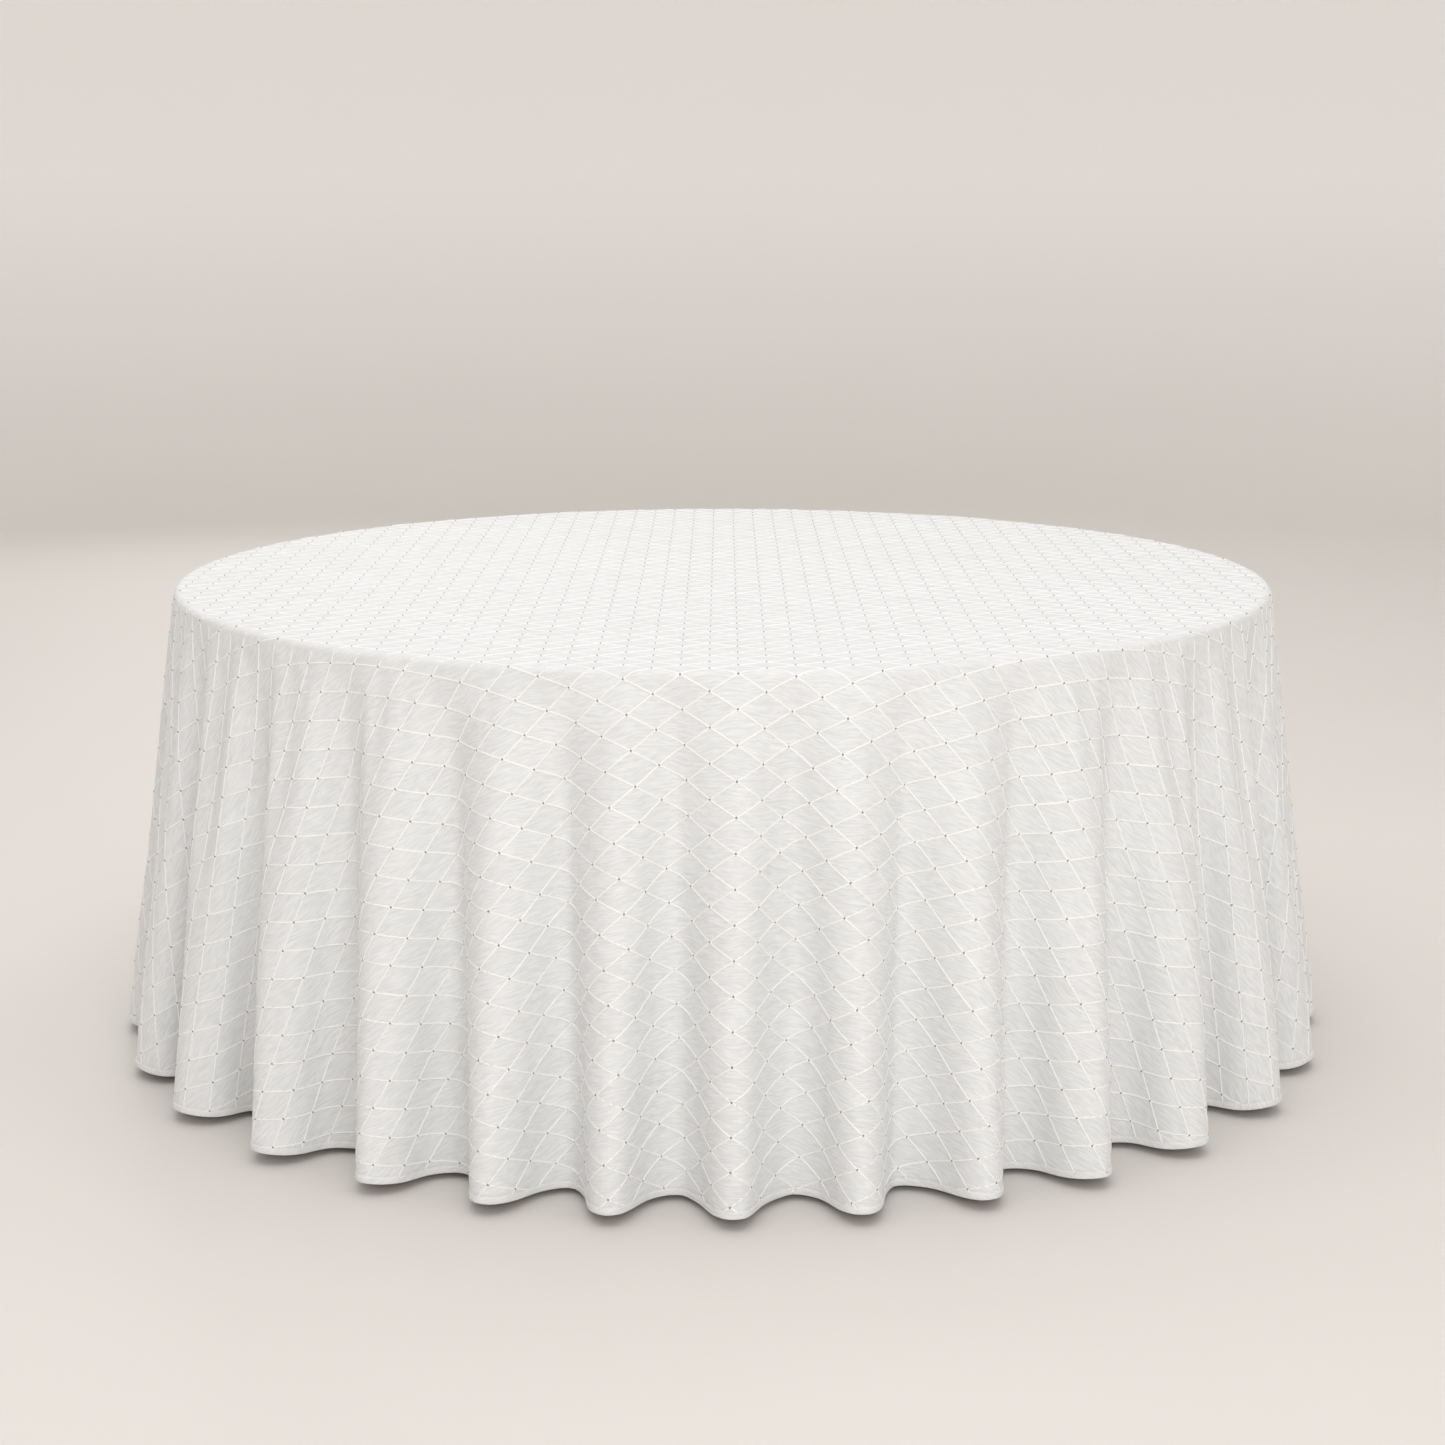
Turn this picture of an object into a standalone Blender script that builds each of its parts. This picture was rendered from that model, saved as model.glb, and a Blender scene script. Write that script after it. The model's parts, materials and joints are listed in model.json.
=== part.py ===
"""A floor-length round tablecloth on a round folding banquet table.

Everything is in metres with +Z up. The origin is on the floor under the table's centre, the front is -Y,
and the two folding leg frames stand at +X and -X. The left side is the right side turned half round.
"""

import math

import bmesh
import bpy
from mathutils import Matrix, Vector

# ---- Table top ----
TABLE_RADIUS = 0.9144
TABLE_HEIGHT = 0.762
PANEL_THICKNESS = 0.019
BAND_DEPTH = 0.006
TABLE_SEGMENTS = 80

# ---- Clearances ----
TOUCH_GAP = 0.0003
PIVOT_CLEARANCE = 0.0004
HOLE_CLEARANCE = 0.0004

# ---- Rails under the top ----
BATTEN_WIDTH = 0.090
BATTEN_DEPTH = 0.032
BATTEN_INSET = 0.008
SIDE_RAIL_WIDTH = 0.022
SIDE_RAIL_INSET = 0.010
RAIL_EDGE_ROUND = 0.002

# ---- Leg frames ----
HINGE_INSET = 0.1944
SPLAY_ANGLE = math.radians(2.3)
LEG_RADIUS = 0.0143
PIVOT_RADIUS = 0.0127
STRETCHER_RADIUS = 0.0111
TUBE_WALL = 0.0015
LEG_BATTEN_CLEARANCE = 0.002
PIVOT_HALF_LENGTH = 0.262
LEG_TOP_Y = 0.190
LEG_FOOT_Y = 0.330
LEG_BEND_DROP = 0.130
LEG_BEND_HALF = 0.045
STRETCHER_DROP = 0.300
TUBE_RESOLUTION = 3

# ---- Rubber feet ----
FOOT_WALL = 0.0039
FOOT_TAPER = 0.0012
FOOT_HEIGHT = 0.034
FOOT_FLOOR = 0.009
FOOT_SEGMENTS = 16

# ---- Pivot brackets and screws ----
BRACKET_Y = 0.240
BRACKET_WIDTH = 0.025
BRACKET_LENGTH = 0.084
PLATE_THICKNESS = 0.003
BRACKET_EYE_WALL = 0.0025
BRACKET_SCREW_X = 0.031
EYE_SETBACK = 0.0005
EYE_SEGMENTS = 24
SCREW_HEAD_RADIUS = 0.0045
SCREW_HEAD_HEIGHT = 0.0028
SCREW_SHANK_RADIUS = 0.0022
SCREW_BITE = 0.013
SCREW_SEGMENTS = 8

# ---- Folding braces ----
BRACE_PIN_OFFSET = 0.0265
BRACE_MOUNT_INBOARD = 0.450
BRACE_WIDTH = 0.020
BRACE_THICKNESS = 0.004
BRACE_PLANE_GAP = 0.0005
BRACE_SEGMENTS = 16
PIN_RADIUS = 0.0040
PIN_HEAD_RADIUS = 0.0072
PIN_HEAD_HEIGHT = 0.0022
FLUSH_HEAD_RADIUS = 0.0062
FLUSH_HEAD_DEPTH = 0.0018
FLUSH_HEAD_SETBACK = 0.0001
COUNTERSINK_REACH = 0.0005
EAR_THICKNESS = 0.003
EAR_GAP = 0.0006
EAR_RADIUS = 0.0095
LUG_LENGTH = 0.032
LUG_MARGIN = 0.002
BORE_REACH = 0.02
MOUNT_PLATE_LENGTH = 0.078
MOUNT_PLATE_WIDTH = 0.034
MOUNT_SCREW_X = 0.028

# ---- Tablecloth ----
CLOTH_THICKNESS = 0.0015
CLOTH_EDGE_CLEARANCE = 0.0035
CLOTH_CORNER_RADIUS = 0.010
CLOTH_CORNER_STEPS = 2
HEM_HEIGHT = 0.012
FOLD_COUNT = 30
FOLD_SEGMENTS = 6
FOLD_DEPTH = 0.090
FOLD_RISE = 0.8
FOLD_CROWDING = 0.09
FOLD_TURN = math.radians(1.1)
SKIRT_STATIONS = (0.18, 0.55, 1.0)

# ---- Worked out from the sizes above ----
PANEL_UNDERSIDE = TABLE_HEIGHT - PANEL_THICKNESS
RAIL_TOP = PANEL_UNDERSIDE - TOUCH_GAP
BATTEN_UNDERSIDE = RAIL_TOP - BATTEN_DEPTH
HINGE_Z = BATTEN_UNDERSIDE - LEG_BATTEN_CLEARANCE - LEG_RADIUS
PANEL_RADIUS = TABLE_RADIUS - BAND_DEPTH - TOUCH_GAP
HINGE_X = TABLE_RADIUS - HINGE_INSET
BATTEN_OUTER_X = HINGE_X + BATTEN_WIDTH / 2
BATTEN_HALF_LENGTH = math.sqrt((PANEL_RADIUS - BATTEN_INSET) ** 2 - BATTEN_OUTER_X**2)
SIDE_RAIL_Y = BATTEN_HALF_LENGTH - SIDE_RAIL_INSET - SIDE_RAIL_WIDTH / 2
LOWER_ARM_Y = -(BRACE_PLANE_GAP + BRACE_THICKNESS) / 2
UPPER_ARM_Y = (BRACE_PLANE_GAP + BRACE_THICKNESS) / 2
CLOTH_TOP_Z = TABLE_HEIGHT + TOUCH_GAP + CLOTH_THICKNESS
CLOTH_EDGE_RADIUS = TABLE_RADIUS + CLOTH_EDGE_CLEARANCE + CLOTH_THICKNESS
SKIRT_TOP_Z = CLOTH_TOP_Z - CLOTH_CORNER_RADIUS


# ---------------------------------------------------------------- helpers


def clear_scene():
    for obj in list(bpy.data.objects):
        bpy.data.objects.remove(obj, do_unlink=True)


def make_material(name, colour, roughness, metallic=0.0):
    material = bpy.data.materials.new(name)
    material.use_nodes = True
    shader = material.node_tree.nodes["Principled BSDF"]
    shader.inputs["Base Color"].default_value = (*colour, 1.0)
    shader.inputs["Roughness"].default_value = roughness
    shader.inputs["Metallic"].default_value = metallic
    return material


def make_object(name, bm, material=None, parent=None, place=Matrix.Identity(4), smooth=True):
    """Puts a bmesh into a new object, shaded smooth up to 35 degrees."""
    bmesh.ops.remove_doubles(bm, verts=bm.verts, dist=1e-6)
    bmesh.ops.recalc_face_normals(bm, faces=bm.faces)
    mesh = bpy.data.meshes.new(name)
    bm.to_mesh(mesh)
    bm.free()
    if smooth:
        mesh.shade_smooth()
        mesh.set_sharp_from_angle(angle=math.radians(35))
    obj = bpy.data.objects.new(name, mesh)
    bpy.context.scene.collection.objects.link(obj)
    if material:
        mesh.materials.append(material)
    obj.parent = parent
    obj.matrix_local = place
    return obj


def make_empty(name, parent=None, location=(0, 0, 0), turn_y=0.0, turn_z=0.0):
    empty = bpy.data.objects.new(name, None)
    empty.empty_display_size = 0.05
    bpy.context.scene.collection.objects.link(empty)
    empty.parent = parent
    empty.location = location
    empty.rotation_euler = (0, turn_y, turn_z)
    return empty


def add_box(bm, low, high):
    size = Vector(high) - Vector(low)
    centre = (Vector(high) + Vector(low)) / 2
    made = bmesh.ops.create_cube(bm, size=1.0)
    bmesh.ops.scale(bm, vec=size, verts=made["verts"])
    bmesh.ops.translate(bm, vec=centre, verts=made["verts"])
    return made["verts"]


def add_cylinder(bm, start, end, radius, segments):
    """A capped cylinder from start to end."""
    axis = Vector(end) - Vector(start)
    turn = axis.to_track_quat("Z", "Y").to_matrix().to_4x4()
    place = Matrix.Translation((Vector(start) + Vector(end)) / 2) @ turn
    made = bmesh.ops.create_cone(
        bm, cap_ends=True, segments=segments, radius1=radius, radius2=radius, depth=axis.length, matrix=place
    )
    return made["verts"]


def turned(profile, segments):
    """A bmesh turned round Z from (radius, z) points that begin and end on the axis or meet each other."""
    bm = bmesh.new()
    verts = [bm.verts.new((radius, 0, z)) for radius, z in profile]
    edges = [bm.edges.new(pair) for pair in zip(verts, verts[1:])]
    if profile[0][0] > 0:
        edges.append(bm.edges.new((verts[-1], verts[0])))
    bmesh.ops.spin(
        bm, geom=verts + edges, cent=(0, 0, 0), axis=(0, 0, 1), angle=math.tau, steps=segments, use_merge=True
    )
    return bm


def wrap(bm):
    """Replaces the faces by the tight convex skin round all the points, with its flat sides in one piece."""
    bmesh.ops.delete(bm, geom=bm.edges[:] + bm.faces[:], context="EDGES_FACES")
    inside = bmesh.ops.convex_hull(bm, input=bm.verts)["geom_interior"]
    bmesh.ops.delete(bm, geom=inside, context="VERTS")
    bmesh.ops.dissolve_limit(bm, angle_limit=math.radians(1), verts=bm.verts, edges=bm.edges)


def helper_object(name, bm, parent=None, place=Matrix.Identity(4)):
    """An object that only shapes others: kept out of the model, shown as wire."""
    obj = make_object(name, bm, parent=parent, place=place, smooth=False)
    obj.hide_render = True
    obj.display_type = "WIRE"
    return obj


def boolean(target, operand, operation):
    modifier = target.modifiers.new(operand.name, "BOOLEAN")
    modifier.object = operand
    modifier.operation = operation
    modifier.solver = "EXACT"


def smooth_path(corners, bend_half, steps=4):
    """The corners joined by straight runs, with each inner corner rounded by a quadratic curve."""
    points = [Vector(corners[0])]
    for before, corner, after in zip(corners, corners[1:], corners[2:]):
        corner = Vector(corner)
        start = corner + (Vector(before) - corner).normalized() * bend_half
        end = corner + (Vector(after) - corner).normalized() * bend_half
        for step in range(steps + 1):
            t = step / steps
            points.append(start * (1 - t) ** 2 + corner * 2 * t * (1 - t) + end * t**2)
    points.append(Vector(corners[-1]))
    return points


def tube_object(name, points, radius, material=None, parent=None, wall=TUBE_WALL):
    """A tube along the points: hollow and open at its ends, or a capped rod where wall is None."""
    curve = bpy.data.curves.new(name, "CURVE")
    curve.dimensions = "3D"
    curve.bevel_depth = radius
    curve.bevel_resolution = TUBE_RESOLUTION
    curve.use_fill_caps = wall is None
    spline = curve.splines.new("POLY")
    spline.points.add(len(points) - 1)
    for point, place in zip(spline.points, points):
        point.co = (*place, 1.0)
    draft = bpy.data.objects.new(name + "_draft", curve)
    bpy.context.scene.collection.objects.link(draft)
    bpy.context.view_layer.update()
    mesh = bpy.data.meshes.new_from_object(draft.evaluated_get(bpy.context.evaluated_depsgraph_get()))
    bpy.data.objects.remove(draft, do_unlink=True)
    bpy.data.curves.remove(curve)
    bm = bmesh.new()
    bm.from_mesh(mesh)
    bpy.data.meshes.remove(mesh)
    if wall is None:
        return helper_object(name, bm, parent)
    obj = make_object(name, bm, material, parent)
    hollow = obj.modifiers.new("Wall", "SOLIDIFY")
    hollow.thickness = wall
    hollow.offset = -1
    hollow.use_even_offset = True
    return obj


# ---------------------------------------------------------------- table top and rails


def build_table_top(materials):
    bm = bmesh.new()
    add_cylinder(bm, (0, 0, PANEL_UNDERSIDE), (0, 0, TABLE_HEIGHT), PANEL_RADIUS, TABLE_SEGMENTS)
    panel = make_object("table_panel", bm, materials["plywood"])

    inner = TABLE_RADIUS - BAND_DEPTH
    half = PANEL_THICKNESS / 2
    middle = PANEL_UNDERSIDE + half
    nose = [
        (inner + BAND_DEPTH * math.cos(angle), middle + half * math.sin(angle))
        for angle in (math.radians(a) for a in (-90, -50, 0, 50, 90))
    ]
    make_object("edge_band", turned(nose, TABLE_SEGMENTS), materials["vinyl"])
    return panel


def build_side_rail(name, y, materials):
    half_length = HINGE_X - BATTEN_WIDTH / 2 - TOUCH_GAP
    bm = bmesh.new()
    add_box(bm, (-half_length, -SIDE_RAIL_WIDTH / 2, -BATTEN_DEPTH), (half_length, SIDE_RAIL_WIDTH / 2, 0))
    rail = make_object(name, bm, materials["hardwood"], place=Matrix.Translation((0, y, RAIL_TOP)))
    round_edges(rail, RAIL_EDGE_ROUND)


def round_edges(obj, width):
    bevel = obj.modifiers.new("Edges", "BEVEL")
    bevel.width = width
    bevel.segments = 1
    bevel.limit_method = "ANGLE"


def build_leg_batten(side, name, materials):
    bm = bmesh.new()
    add_box(
        bm, (-BATTEN_WIDTH / 2, -BATTEN_HALF_LENGTH, -BATTEN_DEPTH), (BATTEN_WIDTH / 2, BATTEN_HALF_LENGTH, 0)
    )
    batten = make_object(
        f"leg_batten_{name}", bm, materials["hardwood"], side, Matrix.Translation((HINGE_X, 0, RAIL_TOP))
    )
    round_edges(batten, RAIL_EDGE_ROUND)
    return batten


# ---------------------------------------------------------------- screws, brackets and clevises


def screw_mesh(bite):
    """A pan-head screw whose head seats at z = 0 and whose shank runs up to z = bite."""
    head = SCREW_HEAD_RADIUS
    height = SCREW_HEAD_HEIGHT
    shank = SCREW_SHANK_RADIUS
    profile = [
        (0, -height),
        (head * 0.7, -height),
        (head, -height * 0.45),
        (head, 0),
        (shank, 0),
        (shank, bite - shank),
        (0, bite),
    ]
    return turned(profile, SCREW_SEGMENTS)


def build_screws(side, name, label, places, seat_z, materials):
    """The screws, and one cutter with their holes, deep enough for each bite."""
    bite = PLATE_THICKNESS + SCREW_BITE
    holes = bmesh.new()
    for number, (x, y) in enumerate(places, 1):
        place = Matrix.Translation((x, y, seat_z - TOUCH_GAP))
        make_object(f"{label}_{name}_{number}", screw_mesh(bite), materials["zinc"], side, place)
        start = (x, y, seat_z - PLATE_THICKNESS)
        end = (x, y, seat_z + bite + HOLE_CLEARANCE)
        add_cylinder(holes, start, end, SCREW_SHANK_RADIUS + HOLE_CLEARANCE, SCREW_SEGMENTS)
    return helper_object(f"{label}_holes_{name}", holes, side)


def build_pivot_bracket(side, name, y, screw_holes, materials):
    """A pressed plate under the batten with an eye that the pivot tube turns in."""
    top = BATTEN_UNDERSIDE - TOUCH_GAP - HINGE_Z
    half = BRACKET_WIDTH / 2
    place = Matrix.Translation((HINGE_X, y, HINGE_Z))
    plate = bmesh.new()
    add_box(plate, (-BRACKET_LENGTH / 2, -half, top - PLATE_THICKNESS), (BRACKET_LENGTH / 2, half, top))
    bracket = make_object(f"pivot_bracket_{name}", plate, materials["zinc"], side, place)
    hole_radius = PIVOT_RADIUS + PIVOT_CLEARANCE
    eye_radius = hole_radius + BRACKET_EYE_WALL
    eye_half = half - EYE_SETBACK
    eye_top = top - PLATE_THICKNESS / 2
    eye = bmesh.new()
    add_cylinder(eye, (0, -eye_half, 0), (0, eye_half, 0), eye_radius, EYE_SEGMENTS)
    add_box(eye, (-eye_radius, -eye_half, 0), (eye_radius, eye_half, eye_top))
    wrap(eye)
    hole = bmesh.new()
    add_cylinder(hole, (0, -BRACKET_WIDTH, 0), (0, BRACKET_WIDTH, 0), hole_radius, EYE_SEGMENTS)
    boolean(bracket, helper_object(f"bracket_eye_{name}", eye, side, place), "UNION")
    boolean(bracket, helper_object(f"bracket_bore_{name}", hole, side, place), "DIFFERENCE")
    boolean(bracket, screw_holes, "DIFFERENCE")


def add_clevis(name, bm_plate, ear_foot, arm_y, signs, material, parent, place):
    """A plate with ears that hold a pin along Y at the origin, beside an arm at arm_y.

    ear_foot is the (x, z) box, as low and high corners, that each ear spreads to at the plate, and signs
    has -1 or 1 for each side of the arm that has an ear.
    """
    clevis = make_object(name, bm_plate, material, parent, place)
    (low_x, low_z), (high_x, high_z) = ear_foot
    for number, sign in enumerate(signs, 1):
        near = arm_y + sign * (BRACE_THICKNESS / 2 + EAR_GAP)
        far = near + sign * EAR_THICKNESS
        low_y, high_y = sorted((near, far))
        ear = bmesh.new()
        add_cylinder(ear, (0, low_y, 0), (0, high_y, 0), EAR_RADIUS, BRACE_SEGMENTS)
        add_box(ear, (low_x, low_y, low_z), (high_x, high_y, high_z))
        wrap(ear)
        boolean(clevis, helper_object(f"{name}_ear_{number}", ear, parent, place), "UNION")
    bore = bmesh.new()
    add_cylinder(bore, (0, -BORE_REACH, 0), (0, BORE_REACH, 0), PIN_RADIUS + HOLE_CLEARANCE, BRACE_SEGMENTS)
    boolean(clevis, helper_object(f"{name}_bore", bore, parent, place), "DIFFERENCE")
    return clevis


def domed_head(seat_y, outward):
    """The outline of a rivet's domed head, from its seat to the axis. outward is -1 or 1 along Y."""
    return [
        (PIN_HEAD_RADIUS, seat_y),
        (PIN_HEAD_RADIUS, seat_y + outward * PIN_HEAD_HEIGHT * 0.4),
        (PIN_HEAD_RADIUS * 0.6, seat_y + outward * PIN_HEAD_HEIGHT),
        (0, seat_y + outward * PIN_HEAD_HEIGHT),
    ]


def flush_head(face_y):
    """The outline of a rivet's countersunk head that narrows from its flat face, from the axis to the shank."""
    return [(0, face_y), (FLUSH_HEAD_RADIUS, face_y), (PIN_RADIUS, face_y + FLUSH_HEAD_DEPTH)]


def pin_mesh(near_y, far_y, near_head="domed", far_head="domed"):
    """A rivet along Y with its shank from near_y to far_y. Each end is "domed" outside it or "cut" off, and
    the near one may be "flush": countersunk, with its face at near_y."""
    if near_head == "flush":
        profile = flush_head(near_y)
    else:
        profile = domed_head(near_y, -1)[::-1] if near_head == "domed" else [(0, near_y)]
        profile.append((PIN_RADIUS, near_y))
    profile.append((PIN_RADIUS, far_y))
    profile += domed_head(far_y, 1) if far_head == "domed" else [(0, far_y)]
    bm = turned(profile, BRACE_SEGMENTS)
    bmesh.ops.rotate(bm, cent=(0, 0, 0), matrix=Matrix.Rotation(math.radians(-90), 3, "X"), verts=bm.verts)
    return bm


def ear_reach():
    """How far from an arm's middle plane a rivet's head seats on the far face of an ear."""
    return BRACE_THICKNESS / 2 + EAR_GAP + EAR_THICKNESS + TOUCH_GAP


def countersink(arm_y):
    """A cutter for the flush head in the near face of an arm at arm_y, with a clearance all round."""
    slope = (FLUSH_HEAD_RADIUS - PIN_RADIUS) / FLUSH_HEAD_DEPTH
    depth = FLUSH_HEAD_DEPTH + FLUSH_HEAD_SETBACK + COUNTERSINK_REACH
    narrow = PIN_RADIUS + HOLE_CLEARANCE
    face = arm_y - BRACE_THICKNESS / 2
    middle = face - COUNTERSINK_REACH + depth / 2
    place = Matrix.Translation((0, middle, 0)) @ Matrix.Rotation(math.radians(-90), 4, "X")
    bm = bmesh.new()
    bmesh.ops.create_cone(
        bm,
        cap_ends=True,
        segments=BRACE_SEGMENTS,
        radius1=narrow + slope * depth,
        radius2=narrow,
        depth=depth,
        matrix=place,
    )
    return bm


# ---------------------------------------------------------------- folding brace


def brace_geometry():
    """Where the brace's pins are at rest, and its arms' lengths and slope.

    The arms lie in one straight line with the legs down, and lie back along each other, level, when the
    frame is folded. Those two states set both lengths.
    """
    drop = STRETCHER_DROP
    offset = BRACE_PIN_OFFSET
    lower_pin = Vector(
        (
            HINGE_X + drop * math.sin(SPLAY_ANGLE) - offset * math.cos(SPLAY_ANGLE),
            0,
            HINGE_Z - drop * math.cos(SPLAY_ANGLE) - offset * math.sin(SPLAY_ANGLE),
        )
    )
    upper_pin = Vector((HINGE_X - BRACE_MOUNT_INBOARD, 0, HINGE_Z + offset))
    straight = (lower_pin - upper_pin).length
    folded = BRACE_MOUNT_INBOARD - drop
    lower_length = (straight + folded) / 2
    upper_length = (straight - folded) / 2
    slope = math.atan2(upper_pin.z - lower_pin.z, lower_pin.x - upper_pin.x)
    return lower_pin, upper_pin, lower_length, upper_length, slope


def build_arm(name, label, length, y, material, parent):
    """A flat bar along X with round ends and a pin hole at the origin and at its far end."""
    bar = bmesh.new()
    for x in (0, length):
        start = (x, y - BRACE_THICKNESS / 2, 0)
        end = (x, y + BRACE_THICKNESS / 2, 0)
        add_cylinder(bar, start, end, BRACE_WIDTH / 2, BRACE_SEGMENTS)
    wrap(bar)
    arm = make_object(f"{label}_{name}", bar, material, parent)
    holes = bmesh.new()
    for x in (0, length):
        start = (x, -BORE_REACH, 0)
        end = (x, BORE_REACH, 0)
        add_cylinder(holes, start, end, PIN_RADIUS + HOLE_CLEARANCE, BRACE_SEGMENTS)
    boolean(arm, helper_object(f"{label}_holes_{name}", holes, parent), "DIFFERENCE")
    return arm


def build_upper_brace(side, name, materials):
    """The brace's upper arm on its own pivot empty, with the head of the elbow rivet."""
    _, upper_pin, _, length, slope = brace_geometry()
    pivot = make_empty(f"upper_arm_pivot_{name}", side, upper_pin, turn_y=slope)
    arm = build_arm(name, "brace_upper_arm", length, UPPER_ARM_Y, materials["steel"], pivot)
    boolean(arm, helper_object(f"countersink_{name}", countersink(UPPER_ARM_Y), pivot), "DIFFERENCE")
    inner = UPPER_ARM_Y - BRACE_THICKNESS / 2
    outer = UPPER_ARM_Y + BRACE_THICKNESS / 2 + TOUCH_GAP
    rivet = pin_mesh(inner, outer, near_head="cut")
    place = Matrix.Translation((length, 0, 0))
    make_object(f"elbow_rivet_{name}", rivet, materials["zinc"], pivot, place)


def build_lower_brace(leg_pivot, name, materials):
    """The brace's lower arm on its own pivot empty, with the clinched tail of the elbow rivet."""
    _, _, length, _, slope = brace_geometry()
    location = (-BRACE_PIN_OFFSET, 0, -STRETCHER_DROP)
    pivot = make_empty(f"lower_arm_pivot_{name}", leg_pivot, location, turn_y=math.pi + slope + SPLAY_ANGLE)
    build_arm(name, "brace_lower_arm", length, LOWER_ARM_Y, materials["steel"], pivot)
    outer = LOWER_ARM_Y - BRACE_THICKNESS / 2 - TOUCH_GAP
    inner = LOWER_ARM_Y + BRACE_THICKNESS / 2
    tail = pin_mesh(outer, inner, far_head="cut")
    place = Matrix.Translation((length, 0, 0))
    make_object(f"elbow_rivet_tail_{name}", tail, materials["zinc"], pivot, place)


def build_brace_mount(side, name, panel, materials):
    """The plate under the panel that the upper arm hangs from, with its pin and two screws.

    Its one ear is on the arm's outer side, because the lower arm folds past its inner side.
    """
    _, upper_pin, _, _, _ = brace_geometry()
    plate_top = PANEL_UNDERSIDE - TOUCH_GAP - upper_pin.z
    plate_low = plate_top - PLATE_THICKNESS
    half_width = MOUNT_PLATE_WIDTH / 2
    plate = bmesh.new()
    low = (-MOUNT_PLATE_LENGTH / 2, -half_width, plate_low)
    add_box(plate, low, (MOUNT_PLATE_LENGTH / 2, half_width, plate_top))
    place = Matrix.Translation(upper_pin)
    ear_foot = ((-EAR_RADIUS * 1.4, plate_low), (EAR_RADIUS * 1.4, plate_low + PLATE_THICKNESS / 2))
    mount = add_clevis(
        f"brace_mount_{name}", plate, ear_foot, UPPER_ARM_Y, (1,), materials["zinc"], side, place
    )
    face = UPPER_ARM_Y - BRACE_THICKNESS / 2 + FLUSH_HEAD_SETBACK
    pin = pin_mesh(face, UPPER_ARM_Y + ear_reach(), near_head="flush")
    make_object(f"brace_mount_pin_{name}", pin, materials["zinc"], side, place)
    places = [(upper_pin.x + sign * MOUNT_SCREW_X, 0) for sign in (-1, 1)]
    seat = upper_pin.z + plate_low
    holes = build_screws(side, name, "mount_screw", places, seat, materials)
    boolean(mount, holes, "DIFFERENCE")
    boolean(panel, holes, "DIFFERENCE")


# ---------------------------------------------------------------- leg frame


def leg_path(sign):
    """The leg's centre line in the frame's own plane, from the hinge axis to the floor."""
    floor_drop = HINGE_Z / math.cos(SPLAY_ANGLE)
    top = (0, sign * LEG_TOP_Y, 0)
    bend = (0, sign * LEG_TOP_Y, -LEG_BEND_DROP)
    foot = (0, sign * LEG_FOOT_Y, -floor_drop)
    return top, bend, foot


def leg_y_at(drop):
    """How far a slanting leg's centre line is from the middle, at this drop below the hinge."""
    top, bend, foot = leg_path(1)
    share = (drop + bend[2]) / (bend[2] - foot[2])
    return bend[1] + (foot[1] - bend[1]) * share


def build_leg(name, end_name, sign, cope, leg_pivot, materials):
    """One bent leg tube, coped round the pivot tube, and its rubber foot. Returns the leg's outline."""
    top, bend, foot = leg_path(sign)
    axis = (Vector(bend) - Vector(foot)).normalized()
    leg_end = Vector(foot) + axis * (FOOT_FLOOR + TOUCH_GAP)
    route = smooth_path((top, bend, leg_end), LEG_BEND_HALF)
    leg = tube_object(f"leg_{name}_{end_name}", route, LEG_RADIUS, materials["steel"], leg_pivot)
    boolean(leg, cope, "DIFFERENCE")

    socket = (LEG_RADIUS + TOUCH_GAP) / math.cos(math.pi / FOOT_SEGMENTS)
    outside = socket + FOOT_WALL
    shell = [
        (0, -FOOT_HEIGHT),
        (outside, -FOOT_HEIGHT),
        (outside, FOOT_HEIGHT * 0.9),
        (outside - FOOT_TAPER, FOOT_HEIGHT),
        (socket, FOOT_HEIGHT),
        (socket, FOOT_FLOOR),
        (0, FOOT_FLOOR),
    ]
    rubber = turned(shell, FOOT_SEGMENTS)
    place = Matrix.Translation(foot) @ axis.to_track_quat("Z", "Y").to_matrix().to_4x4()
    bmesh.ops.transform(rubber, matrix=place, verts=rubber.verts)
    floor_normal = Vector((math.sin(SPLAY_ANGLE), 0, math.cos(SPLAY_ANGLE)))
    cut = bmesh.ops.bisect_plane(
        rubber,
        geom=rubber.verts[:] + rubber.edges[:] + rubber.faces[:],
        plane_co=foot,
        plane_no=floor_normal,
        clear_inner=True,
    )
    rim = [item for item in cut["geom_cut"] if isinstance(item, bmesh.types.BMEdge)]
    bmesh.ops.edgeloop_fill(rubber, edges=rim)
    make_object(f"foot_{name}_{end_name}", rubber, materials["rubber"], leg_pivot)

    whole = smooth_path((top, bend, foot), LEG_BEND_HALF)
    return tube_object(
        f"leg_outline_{name}_{end_name}", whole, LEG_RADIUS + TOUCH_GAP, parent=leg_pivot, wall=None
    )


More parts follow.
